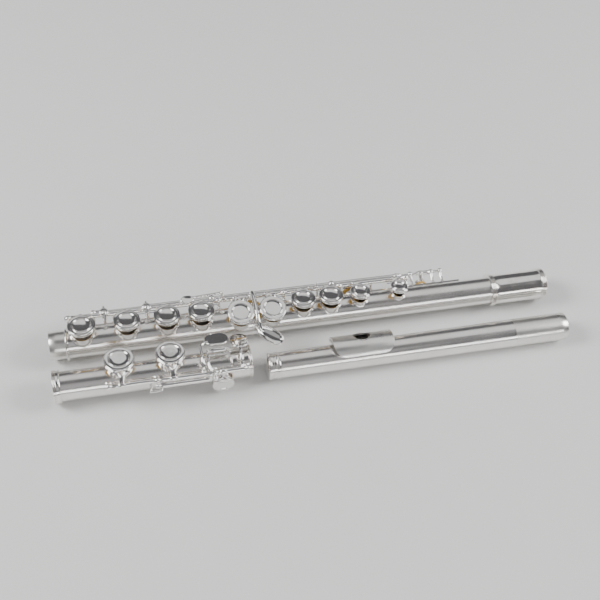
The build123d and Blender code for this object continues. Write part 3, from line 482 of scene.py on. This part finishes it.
footOutline = [(tubes["bore"], 1.0)] + [(tubes["radius"], x) for x in steps(1.0, 119.4, tubes["ringStep"])]
footOutline += [(tubes["bore"], x) for x in steps(119.4, 6.0, tubes["ringStep"])]
footTube = tubeWithHoles("footTube", footOutline, footHoles)
finish(collars("footCollars", footHoles), "foot", "foot_section", silverTube, ["foot_tube"])
finish(footTube, "foot", "foot_section", silverTube, ["foot_tube"])
footRing = turned("footEndRing", sleeveOutline(0.0, 5.0, 10.65, 2, 1, [(9.6, 0.0), (9.96, 5.0), (9.96, 1.1), (9.6, 0.9)]), 128, closed=True)
finish(lay(footRing, alongTube()), "foot", "foot_section", silverRing, ["foot_end_ring"])
footSocket = turned("footSocket", sleeveOutline(116.6, 131.5, 10.9, 1, 2, [(9.96, 116.6), (9.83, 131.5), (9.83, 120.6)]), 128, closed=True)
finish(lay(footSocket, alongTube()), "foot", "foot_section", silverRing, ["foot_socket"])
print("tubes and sleeves made")

# ---- head joint ----

headJoint = {"crown": 9.0, "narrow": 8.9, "wide": 9.9, "taperEnd": 182.0, "end": 221.0, "mouth": (68.0, 12.2, 10.4), "wall": 0.4}


def headRadius(x):
    t = min(1.0, max(0.0, (x - headJoint["crown"]) / (headJoint["taperEnd"] - headJoint["crown"])))
    return headJoint["narrow"] + (headJoint["wide"] - headJoint["narrow"]) * (t + 0.4 * t * (1 - t))


def mouthCutter(grow=0.0, low=2.0, high=30.0):
    x, length, width = headJoint["mouth"]
    pickNothing()
    bpy.ops.mesh.primitive_cylinder_add(vertices=96, radius=1, depth=high - low, location=(x, 0, (low + high) / 2))
    cutter = bpy.context.object
    bpy.ops.object.mode_set(mode="EDIT")
    bpy.ops.mesh.select_all(action="SELECT")
    bpy.ops.transform.resize(value=(length / 2 + grow, width / 2 + grow, 1), center_override=(x, 0, 0))
    bpy.ops.object.mode_set(mode="OBJECT")
    return lay(cutter, Matrix.Identity(4))


wall = headJoint["wall"]
headOut = [(headRadius(x), x) for x in steps(9.0, 220.85, 5.0)]
headIn = [(headRadius(x) - wall, x) for x in steps(221.0, 9.0, 5.0)]
headTube = lay(turned("headTube", headOut + [(headRadius(221) - 0.12, 221.0)] + headIn, 128, closed=True), alongTube())
cut(headTube, mouthCutter())
finish(headTube, "head", "head_section", silverTube, ["head_tube"])
headTube.data.materials.append(nickelTenon)
satinFrom = sections["head"].translation.x + 0.182
for face in headTube.data.polygons:
    face.material_index = 1 if face.center.x > satinFrom else 0

plate = {"length": 43.0, "radius": 11.6, "thickness": 1.1, "centre": 2.9, "edge": 4.0, "corner": 8.5}
shellIn = plate["radius"] - plate["thickness"]
lipPlate = turned("lipPlate", [(shellIn, 30.0), (plate["radius"], 30.0), (plate["radius"], 100.0), (shellIn, 100.0)], 192, closed=True)
lay(lipPlate, alongTube(0, plate["centre"]))
pickNothing()
bpy.ops.mesh.primitive_cube_add(size=1, location=(headJoint["mouth"][0], 0, plate["edge"] + 20))
former = bpy.context.object
bpy.ops.object.mode_set(mode="EDIT")
bpy.ops.mesh.select_all(action="SELECT")
bpy.ops.transform.resize(value=(plate["length"], 60, 40), center_override=tuple(former.location))
bpy.ops.mesh.select_mode(type="EDGE")
bpy.ops.mesh.select_all(action="DESELECT")
bpy.ops.object.mode_set(mode="OBJECT")
for edge in former.data.edges:
    a, b = (former.data.vertices[i].co for i in edge.vertices)
    edge.select = abs(a.y - b.y) > 10
bpy.ops.object.mode_set(mode="EDIT")
bpy.ops.mesh.bevel(offset=plate["corner"], segments=14, affect="EDGES")
bpy.ops.mesh.select_mode(type="VERT")
bpy.ops.object.mode_set(mode="OBJECT")
lay(former, Matrix.Identity(4))
cut(lipPlate, former, "INTERSECT")
cut(lipPlate, mouthCutter())
roundEdges(lipPlate, 0.32, 4, 40)
finish(lipPlate, "head", "head_section", silverSatin, ["lip_plate"], smooth=30)

x, length, width = headJoint["mouth"]
riser = turned("riser", [(length / 2 + 0.01, 8.7), (length / 2 + 1.9, 8.0), (length / 2 + 1.15, 9.4), (length / 2 + 1.0, 10.4), (length / 2 + 1.0, 13.2), (length / 2 + 0.01, 13.2)], 96, closed=True)
lay(riser, Matrix.Translation((x, 0, 0)) @ Matrix.Diagonal((1, (width + 2) / (length + 2), 1, 1)))
finish(riser, "head", "head_section", silverKey, ["riser"])

crown = turned("crown", [(0, 0.0), (4.2, 0.06), (7.0, 0.25), (8.3, 0.6), (9.0, 1.1), (9.3, 1.7), (9.3, 2.3), (9.05, 2.75), (8.75, 3.0), (8.7, 3.3), (8.75, 3.55), (9.0, 3.75),
                         (9.05, 4.05), (9.0, 4.35), (8.75, 4.55), (8.7, 4.8), (8.7, 5.9), (8.75, 6.2), (9.05, 6.45), (9.3, 6.8), (9.3, 8.1), (9.15, 8.6), (8.9, 8.95), (8.45, 8.95),
                         (8.45, 12.6), (8.2, 12.95), (1.55, 12.95), (1.5, 3.0), (0, 3.0)], 96)
finish(lay(crown, alongTube()), "head", "crown", silverRing, ["crown"])
print("head joint made")

# ---- cups, pads, hinge tubes, arms ----

cupForm = {"edge": 13.3, "ceiling": 14.64, "top": 15.82, "wall": 0.6, "seat": 12.5, "dish": 0.7, "sides": 72}
rods = {"main": (14.5, 8.5), "trill": (18.8, 5.5), "thumb": (7.6, -10.9), "foot": (-15.0, 6.5), "lowC": (-16.2, 2.6)}
cupStore = {}


def cup(radius, dished):
    if (radius, dished) not in cupStore:
        edge, top, ring = cupForm["edge"], cupForm["top"], 0.66 * radius
        outline = [(0, cupForm["ceiling"]), (radius - 0.6, cupForm["ceiling"]), (radius - 0.6, edge + 0.06), (radius - 0.52, edge), (radius - 0.14, edge), (radius - 0.03, edge + 0.1),
                   (radius - 0.1, edge + 0.35), (radius - 0.1, edge + 0.7), (radius - 0.04, top - 1.15), (radius, top - 0.8), (radius - 0.07, top - 0.45), (radius - 0.25, top - 0.17), (radius - 0.5, top - 0.02),
                   (radius - 0.8, top), (radius - 1.05, top - 0.06)]
        if dished:
            outline += [(radius - 1.22, top - 0.2), (radius - 1.35, top - 0.24), (ring + 0.62, top - 0.16), (ring + 0.5, top - 0.1), (ring + 0.42, top + 0.06),
                        (ring + 0.25, top + 0.2), (ring, top + 0.25), (ring - 0.25, top + 0.2), (ring - 0.42, top + 0.05), (ring - 0.55, top - 0.14), (ring - 0.8, top - 0.24),
                        (0.75 * ring, top - 0.46), (0.5 * ring, top - 0.6), (0.25 * ring, top - 0.68), (0, top - cupForm["dish"])]
        else:
            outline += [(ring + 0.7, top - 0.06), (ring + 0.55, top - 0.04), (ring + 0.45, top + 0.1), (ring + 0.25, top + 0.22), (ring, top + 0.25), (ring - 0.2, top + 0.16),
                        (ring - 0.35, top - 0.02), (ring - 0.5, top - 0.12), (0.6 * ring, top - 0.13), (0.3 * ring, top - 0.14), (0, top - 0.15)]
        cupStore[radius, dished] = turned("cup", outline, cupForm["sides"])
    return copyOf(cupStore[radius, dished], "cup")


def pad(radius):
    if radius not in cupStore:
        seat, out = cupForm["seat"], radius - 0.66
        cupStore[radius] = turned("pad", [(0, seat + 0.1), (0.45 * out, seat + 0.08), (0.7 * out, seat + 0.03), (out - 0.9, seat), (out - 0.45, seat + 0.04), (out - 0.15, seat + 0.2),
                                          (out, seat + 0.5), (out, seat + 1.4), (out - 0.1, 14.55), (0, 14.56)], 56)
    return copyOf(cupStore[radius], "pad")


postStands = {"main": (14.0, 66.5, 116.5, 163.0, 204.0, 254.0), "foot": (35.4, 66.8, 104.9, 126.8), "lowC": (66.8, 104.9)}


def hingeTube(x0, x1, rod, radius, bore=0.86):
    soften = 0.22
    for name, stands in postStands.items():  # a tube stops short of a ball head
        for at in stands if rods[name] == rod else ():
            x0 = at + 1.95 if 0 < x0 - at < 1.95 else x0
            x1 = at - 1.95 if 0 < at - x1 < 1.95 else x1
    outline = [(bore, x0), (radius - soften, x0), (radius - 0.07, x0 + 0.07), (radius, x0 + soften)]
    outline += [(radius, x) for x in steps(x0 + soften, x1 - soften, 8.0)[1:]]
    outline += [(radius - 0.07, x1 - 0.07), (radius - soften, x1), (bore, x1)]
    return lay(turned("hinge", outline, 32, closed=True), alongTube(*rod))


def openAngle(angle, rod, rise):
    centre = onTube(0, angle, cupForm["edge"])
    return math.degrees(rise / math.hypot(centre[1] - rod[0], centre[2] - rod[1]))


def fork(hole, rod, thick=1.0, hinge=1.8):  # a hub and a Y-shaped arm that holds a cup by its wall
    x, angle, _hole, radius, _dished = hole
    spread = 34.0 if radius > 8.0 else 20.0
    a = math.radians(angle)
    towards = 1 if rod[0] * math.cos(a) - rod[1] * math.sin(a) > 0 else -1
    wide = 1.7 * thick
    puff, lip, bow = (0.0, 0.0, 0.9) if hinge < 1.5 else (0.55, 0.1, 1.3)  # the thumb rod lies close to the floor
    hub = turned("hub", [(hinge - 0.1, -wide - 0.3), (hinge + lip, -wide), (hinge + 0.75 * puff, -0.62 * wide), (hinge + puff, 0), (hinge + 0.75 * puff, 0.62 * wide), (hinge + lip, wide),
                         (hinge - 0.1, wide + 0.3)], 32, closed=True)
    arms = [lay(hub, Matrix.Translation((x, 0, 0)) @ alongTube(*rod))]
    t = math.radians(spread)
    out = radius - 0.2
    for way in (-1, 1):
        start = Vector((x + way * 0.5, rod[0], rod[1]))
        tip = Vector(onTube(x, angle, cupForm["edge"] + 1.3, towards * out * math.cos(t), way * out * math.sin(t)))
        beyond = Vector(onTube(x, angle, cupForm["edge"] + 1.35, towards * (out + 0.1) * math.cos(t * 1.8), way * (out + 0.1) * math.sin(t * 1.8)))
        elbow = Vector(onTube(x, angle, cupForm["edge"] + 0.7, towards * (out + bow) * math.cos(t * 0.5), way * (out + bow) * math.sin(t * 0.5)))
        split = start.lerp(Vector((x + way * 0.75, elbow.y, elbow.z)), 0.62)
        arms.append(bentBar("arm", [start, split, elbow, tip, beyond], [1.45 * thick, 1.15 * thick, 0.95 * thick, 0.85 * thick, 0.5 * thick]))
    return arms


def keyPiece(name, section, holes, cups, rod, spans, way, turn, extras=(), hinge=1.8, after=(), material=silverKey, bore=0.86, thick=1.0):
    parts = [hingeTube(x0, x1, rod, hinge, bore) for x0, x1 in spans]
    pads = []
    for hole in cups:
        x, angle, _hole, radius, dished = holes[hole]
        parts += fork(holes[hole], rod, thick, hinge)
        parts.append(lay(cup(radius, dished), around(x, angle)))
        pads.append(lay(pad(radius), around(x, angle)))
    parts += list(extras)
    opened = turnAbout(rod, -way * turn)
    metalPart = lay(joined(name, parts), opened)
    if after:
        metalPart = joined(name, [metalPart, *after])
    node_ = {"dSharpTrill": "d_sharp_trill", "dTrill": "d_trill", "fSharp": "f_sharp", "gSharp": "g_sharp", "bFlat": "b_flat", "lowC": "low_c", "cSharp": "c_sharp", "eFlat": "e_flat"}.get(name, name)
    body = node_ + "_key"
    finish(metalPart, section, body, material, [body])
    padNode = node_ + ("_pads" if len(cups) > 1 else "_pad")
    padPart = lay(joined(name + "Pad", pads), opened)
    finish(padPart, section, body, padSkin, [padNode])
    return metalPart


def tail(x, rod, angle):  # the stop under a hinge tube that lands on its felt
    tip = onTube(x, angle, 12.9)
    return bentBar("tail", [(x, rod[0], rod[1]), ((x), (rod[0] + tip[1]) / 2, (rod[1] + tip[2]) / 2), tip], [1.0, 0.9, 0.85])


def clutch(x, rod, angle, lug=0.65, gap=0.08, reach=4.2):
    behind = math.degrees((2 * lug + gap) / reach)

    def out(turn, far, along):
        a = math.radians(turn)
        return (x + along, rod[0] + far * math.sin(a), rod[1] + far * math.cos(a))

    driver = [bentBar("lug", [out(angle + behind, 1.0, -3.2), out(angle + behind, reach - 0.4, -3.2), out(angle + behind, reach, -2.6), out(angle + behind, reach, 3.0)], lug),
              bentBar("lug", [out(angle + behind, reach, 2.6), out(angle + behind + 20, reach + 1.2, 2.6)], 0.7)]
    driven = [bentBar("lug", [out(angle, 1.0, 2.6), out(angle, reach + 0.4, 2.6)], lug)]
    return driver, driven


rise = 2.9
mainTurn = openAngle(0, rods["main"], rise)
feltAt = 77.0
tails = {"d": 19.5, "e": 44.0, "f": 72.5, "f_sharp": 109.0, "g": 157.0, "a": 180.0, "b_flat": 188.0, "c": 228.0}
fDriver, fDriven = clutch(90.7, rods["main"], -45)
aDriver, bDriven = clutch(184.1, rods["main"], -45)
main = rods["main"]


def mainTail(name):
    return [tail(tails[name], main, feltAt)]


keyPiece("d", "body", bodyHoles, ["d"], main, [(15.4, 36.9)], 1, mainTurn, after=mainTail("d"))
keyPiece("e", "body", bodyHoles, ["e"], main, [(37.1, 65.1)], 1, mainTurn, after=mainTail("e"))
keyPiece("f", "body", bodyHoles, ["f"], main, [(67.9, 90.6)], 1, mainTurn, fDriver, after=mainTail("f"))
keyPiece("fSharp", "body", bodyHoles, ["f_sharp"], main, [(90.8, 115.1)], 1, mainTurn, fDriven, after=mainTail("f_sharp"))
bridge = bentBar("bridge", [(129.9, 11.0, 11.6), (140.1, 11.1, 11.6), (150.3, 11.0, 11.6)], 1.0)
keyPiece("g", "body", bodyHoles, ["g_low", "g_high"], main, [(121.9, 136.9), (143.3, 161.6)], 1, openAngle(-17, main, rise), [bridge], after=mainTail("g"))
keyPiece("a", "body", bodyHoles, ["a"], main, [(164.4, 184.0)], 1, mainTurn, aDriver, after=mainTail("a"))
keyPiece("bFlat", "body", bodyHoles, ["b_flat"], main, [(184.2, 202.6)], 1, mainTurn, bDriven, after=mainTail("b_flat"))
keyPiece("c", "body", bodyHoles, ["c_plate", "c_small"], main, [(205.4, 252.6)], 1, mainTurn, after=mainTail("c"))
print("main keys made")

# ---- G sharp lever and its spoon ----

spoonForm = {"length": 20.5, "width": 10.0, "at": (146.7, -17.8, 6.7), "turn": -38, "tilt": 28}
half = spoonForm["width"] / 2
spoon = turned("spoon", [(0, -0.35), (0.4 * half, -0.25), (0.7 * half, 0.05), (0.88 * half, 0.5), (0.98 * half, 1.05), (half, 1.4), (0.985 * half, 1.7), (0.95 * half, 1.85), (0.91 * half, 1.82),
                         (0.86 * half, 1.6), (0.74 * half, 1.05), (0.55 * half, 0.6), (0.28 * half, 0.36), (0, 0.3)], 72)
lay(spoon, Matrix.Diagonal((spoonForm["length"] / spoonForm["width"], 1, 1, 1)))
taper = spoon.modifiers.new("taper", "SIMPLE_DEFORM")
taper.deform_method = "TAPER"
taper.deform_axis = "X"
taper.factor = 0.35
applyAll(spoon)
lay(spoon, Matrix.Translation(spoonForm["at"]) @ Matrix.Rotation(math.radians(spoonForm["tilt"]), 4, "X") @ Matrix.Rotation(math.radians(spoonForm["turn"]), 4, "Z"))
g = 140.1
strap = bentBar("strap", [(g, 14.5, 8.5), (g, 15.6, 13.6), (g, 12.4, 16.2), (g, 4.0, 16.9), (g, -4.0, 16.3), (g, -10.0, 14.0), (g + 0.3, -12.9, 11.4), (g + 1.6, -15.0, 9.0)],
                [1.1, 1.05, 1.0, 1.0, 1.05, 1.1, 1.15, 1.2], wide=1.35)
keyPiece("gSharp", "body", bodyHoles, ["g_sharp"], main, [(137.1, 143.1)], 1, 0.0, [spoon, strap])

# ---- side lever, trill keys, thumb keys ----

sideBar = bentBar("sideBar", [(119.8, 14.5, 8.5), (119.8, 16.6, 12.6), (118.8, 16.2, 15.1), (114.5, 15.6, 15.5), (105.0, 15.0, 15.7), (96.5, 14.4, 15.9)], [1.1, 1.0, 0.9, 0.85, 0.8, 0.8])
sideTouch = turned("sideTouch", [(0, 0.0), (2.4, 0.05), (2.95, 0.3), (3.1, 0.7), (3.0, 1.15), (2.7, 1.38), (2.2, 1.3), (1.2, 1.12), (0, 1.05)], 40)
lay(sideTouch, Matrix.Translation((94.6, 13.2, 15.2)) @ Matrix.Rotation(math.radians(10), 4, "X") @ Matrix.Diagonal((9 / 6.2, 1, 1, 1)))
sideLever = joined("sideLever", [hingeTube(117.9, 121.7, main, 1.8), sideBar, sideTouch])
finish(sideLever, "body", "b_flat_lever", silverKey, ["b_flat_lever"])

trillForm = {"headY": 11.4, "headZ": 15.4, "radius": 3.0, "tipY": 3.8, "tipZ": 12.4}


def trillTouch(x):
    y, z = trillForm["headY"], trillForm["headZ"]
    arm = bentBar("trillArm", [(x, 18.8, 5.5), (x, 18.9, 11.6), (x, 16.6, 15.0), (x, y + 1.0, z + 0.5)], [1.1, 0.95, 0.9, 0.95])
    head = turned("trillHead", [(0, 0.0), (2.2, 0.04), (2.75, 0.25), (3.0, 0.7), (2.95, 1.25), (2.65, 1.6), (2.25, 1.68), (1.9, 1.6), (1.2, 1.42), (0, 1.35)], 40)
    lay(head, Matrix.Translation((x, y, z)) @ Matrix.Rotation(math.radians(14), 4, "X"))
    leg = bentBar("trillLeg", [(x, y - 0.8, z + 0.4), (x, (y + trillForm["tipY"]) / 2, z - 0.9), (x, trillForm["tipY"], trillForm["tipZ"])], [2.3, 1.6, 0.7])
    return [arm, head, leg]


trill = rods["trill"]
keyPiece("dTrill", "body", bodyHoles, ["d_trill"], trill, [(64.2, 252.0)], 1, 0.0, trillTouch(66.6), hinge=1.55, thick=0.85)
hubs = [hingeTube(264.0, 274.1, trill, 1.55, 0.8)]
longRod = hingeTube(29.8, 283.7, trill, 0.8, 0.3)
keyPiece("dSharpTrill", "body", bodyHoles, ["d_sharp_trill"], trill, [(32.4, 41.1)], 1, 0.0, [*trillTouch(38.1), *hubs, longRod], hinge=1.55, thick=0.85, bore=0.8)

thumb = rods["thumb"]
thumbTurn = openAngle(103, thumb, 1.9)


def thumbTouch(x, length, width):
    touch = roundedPlate("thumbPlate", length, width, 1.2, 2.6, 0.3)
    lay(touch, around(x, 112) @ Matrix.Translation((0, 0, 14.2)))
    arm = bentBar("thumbArm", [(x, *thumb), (x, *onTube(x, 118, 14.6, -1.0)[1:]), onTube(x, 112, 14.8, 2.0)], [1.1, 1.0, 0.95])
    return [touch, arm]


keyPiece("thumb", "body", bodyHoles, ["thumb"], thumb, [(188.7, 223.6)], 1, thumbTurn, thumbTouch(198.5, 14.0, 8.0), hinge=1.3, thick=0.62)
thumbLever = lay(joined("thumbLever", [hingeTube(174.4, 188.5, thumb, 1.3), *thumbTouch(181.5, 11.0, 8.0)]), turnAbout(thumb, -thumbTurn))
finish(thumbLever, "body", "thumb_lever", silverKey, ["thumb_lever"])
print("levers, trills and thumb keys made")

# ---- foot keys ----

foot = rods["foot"]
footTurn = openAngle(0, foot, rise)
linkY, linkZ, linkX, lug = -21.4, 2.8, 62.2, 0.65
linkLugZ = linkZ + 2 * lug + 0.08
linkLug = bentBar("linkLug", [(linkX, *foot), (linkX, linkY, linkLugZ)], [1.0, 0.65])
keyPiece("lowC", "foot", footHoles, ["low_c"], foot, [(36.8, 65.4)], -1, footTurn, after=[tail(58.0, foot, -feltAt), linkLug], thick=1.2)

plateTop = {"z": 15.0, "thickness": 1.4}


def fingerPlate(name, x0, x1, y0, y1, z, corner, tilt):
    made = roundedPlate(name, x1 - x0, y1 - y0, plateTop["thickness"], corner, 0.45, 0.25)
    return lay(made, Matrix.Translation(((x0 + x1) / 2, (y0 + y1) / 2, z)) @ Matrix.Rotation(math.radians(tilt), 4, "X"))


armX = 97.4
cSharpArm = bentBar("cSharpArm", [(armX, *foot), (armX, -13.4, 12.0), (armX, -9.5, 15.2), (armX, -4.0, 15.8), (armX, 1.5, 15.9), (armX + 2.6, 3.4, 15.8), (armX + 5.5, 4.4, 15.7)], [1.4, 1.25, 1.15, 1.1, 1.1, 1.1, 1.0])
cSharpPlate = fingerPlate("cSharpPlate", 101.0, 117.0, 0.2, 11.4, plateTop["z"], 5.4, -8)
keyPiece("cSharp", "foot", footHoles, ["c_sharp"], foot, [(68.2, 98.6)], -1, footTurn, [cSharpArm, cSharpPlate], after=[tail(90.0, foot, -feltAt)], thick=1.2)

eX = 123.4
eFlatPlate = fingerPlate("eFlatPlate", 118.4, 130.2, -4.6, 11.6, plateTop["z"] + 0.2, 5.6, -7)
eFlatArm = bentBar("eFlatArm", [(eX, *foot), (eX, -13.6, 11.8), (eX, -10.0, 15.2), (eX, -6.0, 16.0), (eX, -2.0, 16.2)], [1.4, 1.25, 1.2, 1.15, 1.05])
keyPiece("eFlat", "foot", footHoles, ["e_flat"], foot, [(106.3, 125.4)], -1, 0.0, [eFlatArm, eFlatPlate], thick=1.1)

lowC = rods["lowC"]
leverX = 101.3
rollerForm = {"y": -3.2, "z": 15.6, "x0": 102.8, "length": 13.0, "radius": 1.9}
rollerAt = (rollerForm["y"], rollerForm["z"])
cheekX = rollerForm["x0"] + rollerForm["length"] + 1.0
leverParts = [
    hingeTube(68.2, leverX + 1.1, lowC, 1.8),
    bentBar("leverArm", [(leverX, *lowC), (leverX, -19.2, 5.4), (leverX, -17.8, 10.2), (leverX, -12.0, 14.3), (leverX, -7.0, 14.8), (leverX, *rollerAt)], [1.2, 1.1, 1.0, 0.95, 0.95, 1.2]),
    bentBar("leverBar", [(leverX, -6.6, 14.6), (leverX + 3, -6.6, 14.5), (cheekX - 2, -6.5, 14.5), (cheekX, -6.1, 14.7), (cheekX, *rollerAt)], [0.8, 0.7, 0.7, 0.75, 1.0]),
    lay(turned("rollerPin", [(0, leverX - 0.5), (0.6, leverX - 0.45), (0.6, 110.0), (0.6, cheekX + 0.35), (0, cheekX + 0.4)], 24), alongTube(*rollerAt)),
    bentBar("kicker", [(69.2, *lowC), (69.2, linkY + 0.6, linkZ), (68.2, linkY, linkZ), (linkX - 0.8, linkY, linkZ)], lug),
]
finish(joined("lowCLever", leverParts), "foot", "low_c_lever", silverKey, ["low_c_lever"])
x0, x1, r = rollerForm["x0"], rollerForm["x0"] + rollerForm["length"], rollerForm["radius"]
roller = turned("roller", [(0.66, x0), (r - 0.5, x0), (r - 0.15, x0 + 0.15), (r, x0 + 0.5), (r, x0 + 1.2), (r - 0.12, x0 + 1.35), (r - 0.12, x0 + 1.55), (r, x0 + 1.7), (r, (x0 + x1) / 2),
                           (r, x1 - 1.7), (r - 0.12, x1 - 1.55), (r - 0.12, x1 - 1.35), (r, x1 - 1.2), (r, x1 - 0.5), (r - 0.15, x1 - 0.15), (r - 0.5, x1), (0.66, x1)], 48, closed=True)
finish(lay(roller, alongTube(*rollerAt)), "foot", "low_c_roller", silverKey, ["low_c_roller"])
print("foot keys made")

# ---- posts ----

postForm = {"stem": 1.15, "base": 10.75, "foot": 2.05}


def post(x, rod, ball, base=None, half=1.8):
    base = base or postForm["base"]
    angle, reach = math.degrees(math.atan2(rod[0], rod[1])), math.hypot(*rod)
    neck = math.asin(postForm["stem"] / ball)
    outline = [(0, base - 0.5), (postForm["foot"], base - 0.5), (postForm["foot"], base + 0.3), (postForm["foot"] - 0.12, base + 0.48), (1.6, base + 0.62), (1.28, base + 0.9), (1.15, base + 1.4)]
    if base + 1.4 > reach - ball * math.cos(neck):
        outline = outline[:-2]
    for i in range(11):
        turn = neck + (math.pi - neck) * i / 10
        outline.append((ball * math.sin(turn), reach - ball * math.cos(turn)))
    made = turned("post", outline, 40)
    pick(made)
    bpy.ops.object.mode_set(mode="EDIT")
    for side in (-1, 1):
        bpy.ops.mesh.select_all(action="SELECT")
        bpy.ops.mesh.bisect(plane_co=(side * half, 0, 0), plane_no=(side, 0, 0), use_fill=True, clear_outer=True)
    bpy.ops.object.mode_set(mode="OBJECT")
    roundEdges(made, 0.12, 2, 40)
    return lay(made, around(x, angle))


bodyPosts = [post(x, main, 2.4) for x in postStands["main"]]
bodyPosts += [post(x, trill, 2.1, half=1.4) for x in (31.0, 282.5, 259.4, 275.5)]
bodyPosts += [post(x, trill, 2.5) for x in (112.6, 199.8)]
bodyPosts += [post(x, thumb, 1.3, 9.95, 1.1) for x in (173.0, 225.0)]
finish(joined("bodyPosts", bodyPosts), "body", "body_section", silverKey, ["key_posts"])
footPosts = [post(x, foot, 2.4) for x in postStands["foot"][:3]] + [post(126.8, foot, 2.4, 10.92)]
footPosts += [post(x, lowC, 1.9) for x in postStands["lowC"]]
finish(joined("footPosts", footPosts), "foot", "foot_section", silverKey, ["foot_posts"])
for made in cupStore.values():
    remove(made)
print("posts made")

# ---- carried-over nodes ----

carried = {"hinge_rods": rodSteel, "foot_rods": rodSteel, "rod_screws": rodSteel, "needle_springs": springBlue, "foot_springs": springBlue, "stop_felts": stopFelt, "foot_felts": stopFelt,
           "key_rib": silverTube, "foot_rib": silverTube, "stopper_screw": silverRing, "stopper_cork": corkWood, "stopper_nut": nickelTenon}
for name, material in carried.items():
    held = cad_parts[name]
    held.data.materials.clear()
    held.data.materials.append(material)

# ---- floor, light and camera ----

pickNothing()
bpy.ops.mesh.primitive_plane_add(size=6, location=(0, 0, 0))
floor = bpy.context.object
floor.name = "floor"
paper = soft("paper", (0.86, 0.86, 0.85), (0.83, 0.83, 0.82), 40, 0.75, 0.05, 0.0005)
floor.data.materials.append(paper)

lights = [  # name, place, size, watts
    ("leftSoft", (-1.15, 0.15, 0.95), (0.6, 0.6), 18),
    ("rightSoft", (1.2, -0.15, 0.9), (0.6, 0.6), 15),
    ("overhead", (0.25, 0.6, 1.25), (1.6, 1.1), 4.4),
    ("frontPanel", (-0.3, -0.85, 1.1), (1.7, 0.9), 1.5),
    ("frontStrip", (0.15, -0.95, 0.3), (1.2, 0.12), 3.2),
]
for name, place, size, watts in lights:
    bpy.ops.object.light_add(type="AREA", location=place)
    lamp = bpy.context.object
    lamp.name = name
    lamp.data.shape = "RECTANGLE"
    lamp.data.size, lamp.data.size_y = size
    lamp.data.energy = watts
    lamp.rotation_euler = (Vector((0, 0, 0)) - Vector(place)).to_track_quat("-Z", "Y").to_euler()
world = bpy.data.worlds.new("studio")
scene.world = world
world.use_nodes = True
world.node_tree.nodes["Background"].inputs["Color"].default_value = (0.11, 0.11, 0.115, 1)

view = {"lens": 59.0, "sensor": 36.0, "right": (0.970, -0.219, 0.104), "up": (0.121, 0.810, 0.574), "back": (-0.210, -0.544, 0.812), "from": (0.0282, -0.3703, 0.5707)}
bpy.ops.object.camera_add()
camera = bpy.context.object
camera.data.lens = view["lens"]
camera.data.sensor_width = view["sensor"]
camera.data.clip_start = 0.01
stand = Matrix((view["right"], view["up"], view["back"])).transposed().to_4x4()
stand.translation = sections["body"].translation + Vector(view["from"])
camera.matrix_world = stand
scene.camera = camera
print("stage set")
